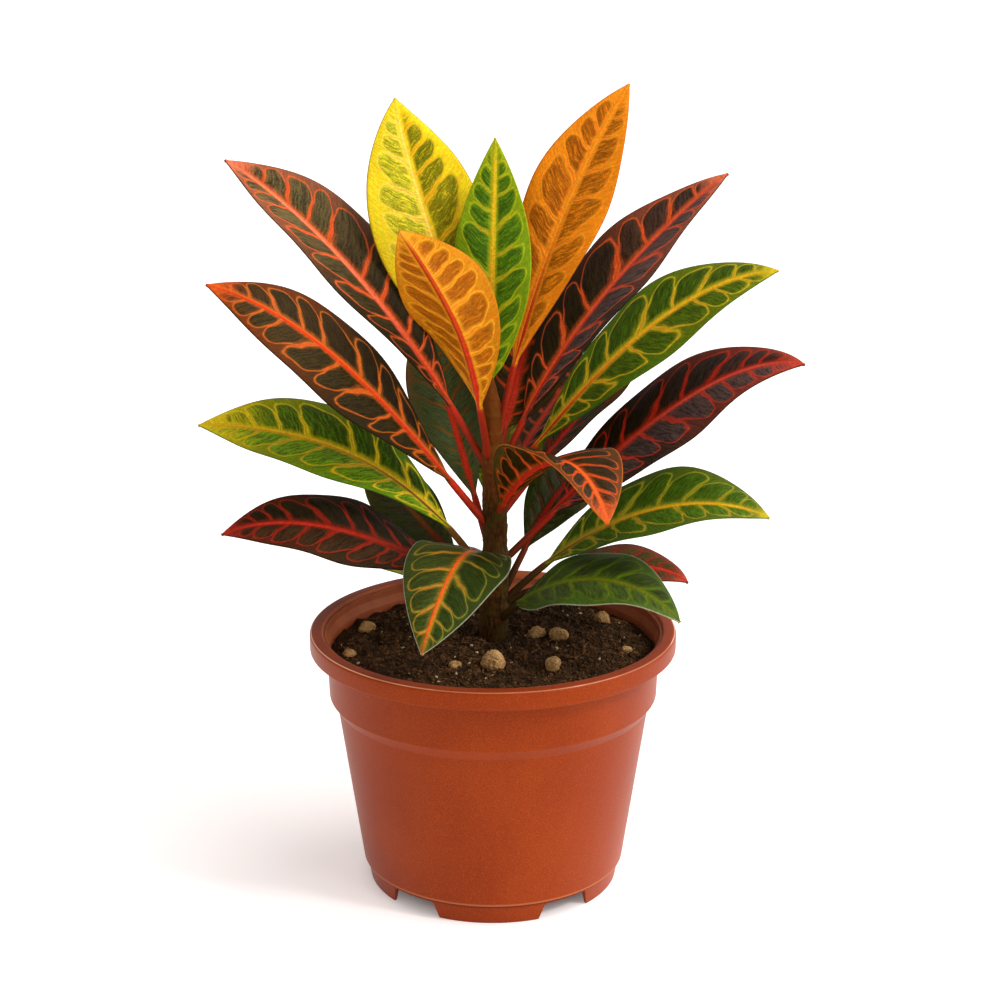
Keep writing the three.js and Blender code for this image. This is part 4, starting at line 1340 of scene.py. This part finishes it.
# %% Cutting the feet and the drain holes
FOOT_COUNT = 5
NOTCH_HEIGHT = 7.2
NOTCH_TOP_HALF = FOOT_RADIUS * math.tan(math.radians(10.8))
NOTCH_FOOT_HALF = FOOT_RADIUS * math.tan(math.radians(13.5))
NOTCH_REACH = 4
NOTCH_ROUND = 1.6
DRAIN_RADIUS = 4
DRAIN_CIRCLE = 34
DRAIN_SIDES = 32
SHARP_ANGLE = 40
FOOT_PITCH = 360 / FOOT_COUNT
NOTCH_TURNS = [math.radians(POT_TURN - 90 + FOOT_PITCH * (i + 0.5)) for i in range(FOOT_COUNT)]


def wedge(turn):
    """The cutter for a notch: its points, at the inner and then the outer end, and its faces."""
    out = Vector((math.cos(turn), math.sin(turn), 0))
    along = Vector((-math.sin(turn), math.cos(turn), 0))
    outline = rounded([
        (-NOTCH_FOOT_HALF, -WALL, 0), (NOTCH_FOOT_HALF, -WALL, 0),
        (NOTCH_TOP_HALF, NOTCH_HEIGHT, NOTCH_ROUND), (-NOTCH_TOP_HALF, NOTCH_HEIGHT, NOTCH_ROUND),
        (-NOTCH_FOOT_HALF, -WALL, 0),
    ])[:-1]
    ends = []
    for reach in (FOOT_RADIUS - NOTCH_REACH, FOOT_RADIUS + NOTCH_REACH):
        for sideways, height in outline:
            ends.append(out * reach + along * sideways + Vector((0, 0, height)))
    return ends, tube_faces(2, len(outline))


def drill(turn, reach):
    """The cutter for a drain hole, at a distance from the axis: its points and its faces."""
    middle = Vector((math.cos(turn), math.sin(turn), 0)) * reach
    ends = []
    for height in (FLOOR_HEIGHT - 2 * WALL, FLOOR_HEIGHT + 3 * WALL):
        for step in range(DRAIN_SIDES):
            round_turn = math.tau * step / DRAIN_SIDES
            edge = Vector((math.cos(round_turn), math.sin(round_turn), 0)) * DRAIN_RADIUS
            ends.append(middle + edge + Vector((0, 0, height)))
    return ends, tube_faces(2, DRAIN_SIDES)


def cut(mesh, cutters):
    """Take closed shapes, each given as its points and faces, away from a mesh."""
    spots, faces = [], []
    for shape_spots, shape_faces in cutters:
        faces += [tuple(corner + len(spots) for corner in face) for face in shape_faces]
        spots += shape_spots
    tool = bpy.data.objects.new("cutter", mesh_of("cutter", spots, faces))
    work_piece = bpy.data.objects.new(mesh.name, mesh)
    bpy.context.collection.objects.link(tool)
    bpy.context.collection.objects.link(work_piece)
    boolean = work_piece.modifiers.new("cut", "BOOLEAN")
    boolean.object = tool
    boolean.operation = "DIFFERENCE"
    boolean.solver = "EXACT"
    evaluated = work_piece.evaluated_get(bpy.context.evaluated_depsgraph_get())
    result = bpy.data.meshes.new_from_object(evaluated)
    bpy.data.objects.remove(tool)
    bpy.data.objects.remove(work_piece)
    return result


pot_cutters = [drill(0, 0)]
for notch_turn in NOTCH_TURNS:
    pot_cutters += [wedge(notch_turn), drill(notch_turn, DRAIN_CIRCLE)]
pot_mesh = cut(pot_mesh, pot_cutters)
pot_mesh.shade_smooth()
pot_mesh.set_sharp_from_angle(angle=math.radians(SHARP_ANGLE))
pot = place("pot_shell", pot_mesh, "pot_plastic", "pot")

# %% [markdown]
# The plastic imitates fired clay: a warm orange-brown with a satin surface. Close up, moulded
# plastic is never even. It has a fine grain from the mould and faint flow marks that run upwards.
# Inside, under the rim, it is paler, which is painted light, and dusty. Faces that look down near
# the floor and a band above the feet are darkened as painted shade. A pale line on the ledge above
# the feet and another on the edge of the rim are painted highlights. Each of these is found by its
# height, its distance from the axis and the way its face looks, in metres, as Object coordinates
# are.

# %% Terracotta plastic
POT_TONES = {
    "clay": "8a2f04", "warm": "923506", "flow": "7c2602", "dark grain": "6c2402",
    "light grain": "b85a2c", "inside": "cc7048", "crease_shade": "4c1a04", "ledge_highlight": "d08050",
    "rim highlight": "f4b894", "dust": "5a341c",
}
INSIDE_START = (0.09, 0.1)
LOW_WALL = (0.02, 0.03)
CREASE_SHADE_BAND = (0.0066, 0.0082, 0.0083, 0.0086)
LEDGE_HIGHLIGHT_BAND = (0.0085, 0.0088, 0.0092, 0.0098)
LEDGE_HIGHLIGHT_START = (0.0532, 0.0538)
RIM_HIGHLIGHT_BEND = (0.62, 0.74, 0.82, 0.93)
RIM_HIGHLIGHT_TOP = (0.105, 0.106)
RIM_HIGHLIGHT_START = (0.0725, 0.073)


def moulded_plastic(tone, cloudy, flow, grain):
    """The even part of the pot's colour: cloudy clay, flow marks, then dark and light grain."""
    clay = mixed(tone["clay"], tone["warm"], step_up(cloudy, 0.35, 0.65))
    clay = mixed(clay, tone["flow"], 0.2 * step_up(flow, 0.5, 0.8))
    clay = mixed(clay, tone["dark grain"], 0.45 * step_up(grain, 0.48, 0.32))
    return mixed(clay, tone["light grain"], 0.3 * step_up(grain, 0.54, 0.72))


def make_terracotta():
    material, tree, surface, relief = new_material("terracotta_plastic", bump=0.07, specular=0.14)
    tone = {name: light_of(code) for name, code in POT_TONES.items()}
    spot = out_of(add_node(tree, "ShaderNodeTexCoord"), "Object")
    facing = out_of(add_node(tree, "ShaderNodeNewGeometry"), "Normal")
    height, upwards = parts(spot)[2], parts(facing)[2]
    outwards = spot * (1, 1, 0)
    away = work("LENGTH", outwards)
    flow = cloud(spot * (1, 1, 0.2), 60, detail=3)
    grain = cloud(spot, 2200, detail=2)
    cloudy = cloud(spot, 25, detail=3)
    clay = moulded_plastic(tone, cloudy, flow, grain)
    # The inner wall under the rim is painted paler: painted light, where light falls on it.
    inwards = -1 * work("DOT_PRODUCT", facing, work("NORMALIZE", outwards))
    inside = step_up(inwards, 0.2, 0.8) * step_up(height, *INSIDE_START)
    clay = mixed(clay, tone["inside"], 0.8 * inside)
    # Downward faces near the floor and a band above the feet are darkened: painted shade.
    crease_shade = step_up(-1 * upwards, 0.25, 0.6) * (1 - step_up(height, *LOW_WALL))
    crease_shade = work("MAXIMUM", crease_shade, band(height, *CREASE_SHADE_BAND))
    clay = mixed(clay, tone["crease_shade"], 0.65 * crease_shade)
    # A pale line on the ledge above the feet is a painted highlight.
    ledge_highlight = band(height, *LEDGE_HIGHLIGHT_BAND) * step_up(away, *LEDGE_HIGHLIGHT_START)
    clay = mixed(clay, tone["ledge_highlight"], 0.4 * ledge_highlight)
    # A pale line along the rim's top edge, broken up by cloudy noise, is a painted highlight.
    edge = band(upwards, *RIM_HIGHLIGHT_BEND) * step_up(height, *RIM_HIGHLIGHT_TOP) * step_up(away, *RIM_HIGHLIGHT_START)
    clay = mixed(clay, tone["rim highlight"], edge * (0.25 + 0.6 * step_up(cloudy, 0.4, 0.6)))
    dust = step_up(cloud(spot, 180, detail=4), 0.5, 0.75) * (0.03 + 0.15 * inside)
    plug(surface.inputs["Base Color"], mixed(clay, tone["dust"], dust))
    plug(surface.inputs["Roughness"], 0.32 + 0.16 * grain + 0.25 * dust)
    plug(relief.inputs["Height"], grain + 0.4 * flow)
    return material


pot.data.materials.append(make_terracotta())
print("the pot is painted")

# %% [markdown]
# Potting soil is peat with small lumps. Its surface is a low mound with heaps and dips, and the
# loose crumbs lie on it. The bed is made first. It is turned as the pot was, from the pot's floor
# up the inside of the wall and in to the middle, and then the points on top are lifted. Their
# height follows the same sums as the solid's, with finer lumps added.

# %% Soil
SOIL_MOUND = 5.5
SOIL_RELIEF = 0.7
SOIL_GAP = 0.5
SOIL_FLOOR_GAP = 0.3
SOIL_RINGS = 70
SOIL_SIDES = 240
LUMP_HEIGHT = 0.8
CRUMB_RELIEF = 0.45


def soil_height(x, y):
    share = min(1, math.hypot(x, y) / COLLAR_FOOT_RADIUS)
    heaps = math.sin(0.21 * x + 1) * math.cos(0.17 * y) + 0.6 * math.sin(0.37 * y + 0.29 * x)
    return SOIL_EDGE_HEIGHT + SOIL_MOUND * (1 - share ** 1.6) + SOIL_RELIEF * heaps


def soil_lumps(x, y):
    coarse = noise.fractal(Vector((x, y, 3)) * 0.16, 0.6, 2, 3)
    fine = noise.fractal(Vector((x, y, 9)) * 0.75, 0.7, 2, 3)
    return LUMP_HEIGHT * coarse + CRUMB_RELIEF * fine


def inner_radius(height):
    """The pot's inner wall at a height, on the collar."""
    foot = COLLAR_FOOT_HEIGHT + WALL
    share = (height - foot) / (POT_HEIGHT - RIM_DEPTH - foot)
    return COLLAR_FOOT_RADIUS - WALL + (COLLAR_TOP_RADIUS - COLLAR_FOOT_RADIUS) * share


def make_soil():
    floor = FLOOR_HEIGHT + WALL
    inset = WALL + SOIL_GAP
    edge = inner_radius(SOIL_EDGE_HEIGHT) - SOIL_GAP
    outline = [
        (0, floor + SOIL_FLOOR_GAP),
        (BODY_FOOT_RADIUS - FLOOR_ROUND - inset, floor + SOIL_FLOOR_GAP),
        (BODY_FOOT_RADIUS - inset, floor + FLOOR_ROUND),
        (SHOULDER_RADIUS - inset, SHOULDER_HEIGHT - WALL),
        (COLLAR_FOOT_RADIUS - inset, COLLAR_FOOT_HEIGHT + WALL),
    ]
    for ring in range(SOIL_RINGS + 1):
        outline.append((edge * (1 - ring / SOIL_RINGS), SOIL_EDGE_HEIGHT))
    mesh = turned("soil", outline, SOIL_SIDES)
    for corner in mesh.vertices:
        x, y, z = corner.co / MM
        if z > SOIL_EDGE_HEIGHT - 1:
            corner.co.z = (soil_height(x, y) + soil_lumps(x, y)) * MM
    return mesh


soil = place("soil_bed", make_soil(), "potting_soil", "soil")

# %% [markdown]
# Damp peat is nearly black in its hollows and warm brown on top, and it hardly shines. Two sizes
# of noise mix a dark and a light brown, and the peaks of the finer one add paler flecks. The same
# function paints the crumbs, the fibres, the specks and the pebbles, each with its own tones.

# %% Peat
def make_peat(name, dark, light, fleck):
    material, tree, surface, relief = new_material(name, 0.9, bump=0.8, specular=0.25)
    spot = out_of(add_node(tree, "ShaderNodeTexCoord"), "Object")
    coarse = cloud(spot, 220, detail=4, roughness=0.65)
    fine = cloud(spot, 1100, detail=4, roughness=0.7)
    brown = mixed(light_of(dark), light_of(light), step_up(coarse * 0.5 + fine * 0.5, 0.36, 0.66))
    brown = mixed(brown, light_of(fleck), step_up(fine, 0.6, 0.72) * 0.65)
    plug(surface.inputs["Base Color"], brown)
    plug(relief.inputs["Height"], coarse + fine)
    return material


peat = make_peat("peat", "160d05", "4e3014", "8a6034")
soil.data.materials.append(peat)
print("peat is on the soil")

# %% [markdown]
# Thousands of crumbs could be a particle system, but a node tree keeps the rule in one place and
# gives plain geometry. It scatters points over a surface, puts a small rock on each one, turns
# and squashes it at random, and then pushes the points of every rock about with noise. The same
# tree, with other numbers, makes the crumbs, the lumps, the bark fibres and the white specks.

# %% The scatter tree
SCATTER_INPUTS = {
    "Surface": "NodeSocketGeometry", "Density": "NodeSocketFloat", "Seed": "NodeSocketInt",
    "Smallest": "NodeSocketVector", "Largest": "NodeSocketVector", "Rise": "NodeSocketFloat",
    "Fineness": "NodeSocketInt", "Roughness": "NodeSocketFloat", "Finish": "NodeSocketMaterial",
}
ROCK_TILT = 0.5
ROCK_NOISE_SCALE = 700.0


def chance(tree, low, high, seed):
    """A random vector for each point, between two others."""
    inputs = {"Min": low, "Max": high, "Seed": seed}
    return out_of(add_node(tree, "FunctionNodeRandomValue", inputs, data_type="FLOAT_VECTOR"))


def make_scatter_tree():
    tree = bpy.data.node_groups.new("scatter", "GeometryNodeTree")
    given = named_inputs(tree, SCATTER_INPUTS)
    tree.interface.new_socket(name="Crumbs", in_out="OUTPUT", socket_type="NodeSocketGeometry")
    points = add_node(tree, "GeometryNodeDistributePointsOnFaces", {
        "Mesh": given["Surface"], "Density": given["Density"], "Seed": given["Seed"],
    }, distribute_method="RANDOM")
    rock = add_node(tree, "GeometryNodeMeshIcoSphere", {
        "Radius": MM, "Subdivisions": given["Fineness"],
    })
    crumbs = add_node(tree, "GeometryNodeInstanceOnPoints", {
        "Points": out_of(points, "Points"), "Instance": out_of(rock, "Mesh"),
        "Rotation": chance(tree, (-ROCK_TILT, -ROCK_TILT, 0.0), (ROCK_TILT, ROCK_TILT, math.tau),
                           given["Seed"]),
        "Scale": chance(tree, given["Smallest"], given["Largest"], given["Seed"] + 1),
    })
    solid = add_node(tree, "GeometryNodeRealizeInstances", (out_of(crumbs),))
    spot = out_of(add_node(tree, "GeometryNodeInputPosition"))
    noise_node = add_node(tree, "ShaderNodeTexNoise", {
        "Vector": spot, "Scale": ROCK_NOISE_SCALE, "Detail": 2.0,
    })
    push = (out_of(noise_node, "Color") - (0.5, 0.5, 0.5)) * given["Roughness"] * MM
    lifted = push + vector_of(0, 0, given["Rise"] * MM)
    moved = add_node(tree, "GeometryNodeSetPosition", {"Geometry": out_of(solid), "Offset": lifted})
    painted = add_node(tree, "GeometryNodeSetMaterial", {
        "Geometry": out_of(moved), "Material": given["Finish"],
    })
    end = tree.nodes.new("NodeGroupOutput")
    plug(end.inputs["Crumbs"], out_of(painted))
    return tree


scatter_tree = make_scatter_tree()
print("nodes in the scatter tree:", len(scatter_tree.nodes))

# %% [markdown]
# Crumbs lie on the soil, but not against the wall of the pot, where they would stick through it,
# nor inside the stem. A copy of the soil's top faces, without those near the wall and the stem,
# is the surface that the tree scatters them on. Densities are in pieces for each square metre,
# and sizes are half widths in millimetres.

# %% Crumbs, fibres and specks
WALL_CLEARANCE = 3.2
STEM_CLEARANCE = 7.5


def soil_top():
    """The faces of the soil's top on which crumbs may lie, as a mesh of their own."""
    reach = inner_radius(SOIL_EDGE_HEIGHT) - WALL_CLEARANCE
    faces = []
    for face in soil.data.polygons:
        middle = face.center / MM
        away = math.hypot(middle.x, middle.y)
        if middle.z > SOIL_EDGE_HEIGHT - 3 and STEM_CLEARANCE < away < reach:
            faces.append(tuple(face.vertices))
    return mesh_of("soil_top", [corner.co / MM for corner in soil.data.vertices], faces)


def scatter(name, finish, slot, **inputs):
    """Scatter small rocks of one kind over the soil, and place them as one piece."""
    inputs = {name_of.replace("_", " ").capitalize(): value for name_of, value in inputs.items()}
    mesh = mesh_from_tree(name, soil_top(), scatter_tree, inputs | {"Finish": finish})
    mesh.shade_smooth()
    return place(name, mesh, slot)


crumb_finish = make_peat("peat_crumbs", "170d05", "704a2a", "d09c60")
scatter("soil_crumbs", crumb_finish, "potting_soil", density=430000.0, seed=3, rise=0.2,
        smallest=(0.25, 0.25, 0.2), largest=(0.95, 0.85, 0.65), fineness=1, roughness=0.8)
scatter("soil_lumps", crumb_finish, "potting_soil", density=36000.0, seed=8, rise=0.3,
        smallest=(0.8, 0.7, 0.5), largest=(1.8, 1.5, 1.1), fineness=2, roughness=1.4)
fibre_finish = make_peat("bark_fibre", "4a3018", "8a6238", "b48a58")
scatter("bark_fibres", fibre_finish, "potting_soil", density=16000.0, seed=14, rise=0.5,
        smallest=(0.2, 0.2, 0.15), largest=(3.2, 0.4, 0.35), fineness=1, roughness=0.4)
speck_finish = make_peat("white_specks", "b49a70", "dcc8a0", "f2e6cc")
scatter("white_specks", speck_finish, "clay", density=6500.0, seed=21, rise=0.4,
        smallest=(0.2, 0.2, 0.15), largest=(0.95, 0.8, 0.6), fineness=2, roughness=0.5)

# %% [markdown]
# Nine clay pellets and pebbles lie half sunk in the soil. Each is a ball of triangles, pushed in
# and out by a few waves as its solid is, with small pits from noise on top of that.

# %% Pebbles
PEBBLES = [
    ((-53, 20), (8, 7, 6.4)),
    ((0.5, -30.8), (10, 9, 8)),
    ((24, -30.8), (6.6, 6.2, 6.4)),
    ((27, 0), (9, 7, 6.4)),
    ((18, 4), (7, 6, 5.4)),
    ((46, 26), (8, 7.4, 7.2)),
    ((54.5, -8), (4.6, 4, 3.6)),
    ((-15, -30), (5.4, 4.6, 3.8)),
    ((-58.5, -9), (5.6, 5, 3.4)),
]
PEBBLE_RISE = 0.14
PEBBLE_LUMPS = 0.09
PEBBLE_PITS = 0.08
PEBBLE_TURN = 1.3


def make_pebble(number, middle, size):
    ball = bmesh.new()
    bmesh.ops.create_icosphere(ball, subdivisions=5, radius=0.5)
    x, y = middle
    lift = soil_height(x, y) + PEBBLE_RISE * size[2]
    turn = PEBBLE_TURN * number
    for corner in ball.verts:
        spot = corner.co.copy()
        waves = math.sin(7 * spot.x + 2.1 * number) * math.cos(6 * spot.y - number)
        waves += 0.8 * math.sin(9 * spot.z + 1.7 * number)
        pits = noise.fractal(spot * 10 + Vector((number, 0, 0)), 0.7, 2, 4)
        spot *= 1 + PEBBLE_LUMPS * waves + PEBBLE_PITS * pits
        across, deep = spot.x * size[0], spot.y * size[1]
        corner.co = Vector((
            x + across * math.cos(turn) - deep * math.sin(turn),
            y + across * math.sin(turn) + deep * math.cos(turn),
            lift + spot.z * size[2],
        )) * MM
    mesh = bpy.data.meshes.new("pebble")
    ball.to_mesh(mesh)
    ball.free()
    mesh.shade_smooth()
    return mesh


clay_finish = make_peat("baked_clay", "8c5e30", "eabb7a", "fff0cc")
for number, (middle, size) in enumerate(PEBBLES, start=1):
    node = f"pebble_{number}"
    pebble = place(node + "_clay", make_pebble(number, middle, size), "clay", node)
    pebble.data.materials.append(clay_finish)

# %% [markdown]
# The studio is a plain pale floor under soft light. A small lamp would fade over a floor as long
# as this one, so the lights are suns, which light it evenly. The main one comes from the right
# and has a very wide disc, which makes its shadow soft. A smaller, sharper one gives the leaves
# their gloss, and a weak one fills the front. The sky fills the rest, and looks plain white
# behind the plant. The floor glows faintly, as a lit table does. Under the pot the glow fades
# out, which is a painted shadow where a real table would lie in shade.

# %% Floor and lights
FLOOR_SIDE = 60
FLOOR_COLOUR = (0.88, 0.84, 0.82, 1)
GLOW_COLOUR = (1, 0.94, 0.92, 1)
FLOOR_GLOW = 0.42
PAINTED_SHADOW_REACH = (0.036, 0.06)
SUNS = [
    ("main_light", Vector((0.98, -0.08, 0.85)), 84, 2.85),
    ("key_light", Vector((0.8, -0.45, 0.9)), 8, 0.95),
    ("front_light", Vector((-0.2, -1.0, 0.5)), 60, 0.22),
]
SKY_STRENGTH = 0.44


def make_floor():
    half = FLOOR_SIDE / 2 / MM
    corners = [(-half, -half, 0), (half, -half, 0), (half, half, 0), (-half, half, 0)]
    mesh = mesh_of("floor", corners, [(0, 1, 2, 3)])
    floor = bpy.data.objects.new("floor", mesh)
    bpy.context.collection.objects.link(floor)
    material, tree, surface, _ = new_material("pale_floor", 0.9, specular=0.1)
    surface.inputs["Base Color"].default_value = FLOOR_COLOUR
    surface.inputs["Emission Color"].default_value = GLOW_COLOUR
    spot = out_of(add_node(tree, "ShaderNodeTexCoord"), "Object")
    # Near the pot's axis the glow fades out: a painted shadow under the pot.
    outside_painted_shadow = step_up(work("LENGTH", spot), *PAINTED_SHADOW_REACH)
    plug(surface.inputs["Emission Strength"], FLOOR_GLOW * outside_painted_shadow)
    mesh.materials.append(material)


def add_sun(name, comes_from, disc, strength):
    data = bpy.data.lights.new(name, "SUN")
    data.angle = math.radians(disc)
    data.energy = strength
    light = bpy.data.objects.new(name, data)
    light.rotation_euler = (-comes_from).to_track_quat("-Z", "Y").to_euler()
    bpy.context.collection.objects.link(light)


def add_sky():
    world = bpy.data.worlds.new("sky")
    world.use_nodes = True
    background = world.node_tree.nodes["Background"]
    background.inputs["Color"].default_value = (1, 1, 1, 1)
    seen = out_of(world.node_tree.nodes.new("ShaderNodeLightPath"), "Is Camera Ray")
    plug(background.inputs["Strength"], mixed(SKY_STRENGTH, 1.0, seen))
    bpy.context.scene.world = world


make_floor()
for sun in SUNS:
    add_sun(*sun)
add_sky()
bpy.context.scene.view_settings.view_transform = "Standard"
print("the studio is lit")
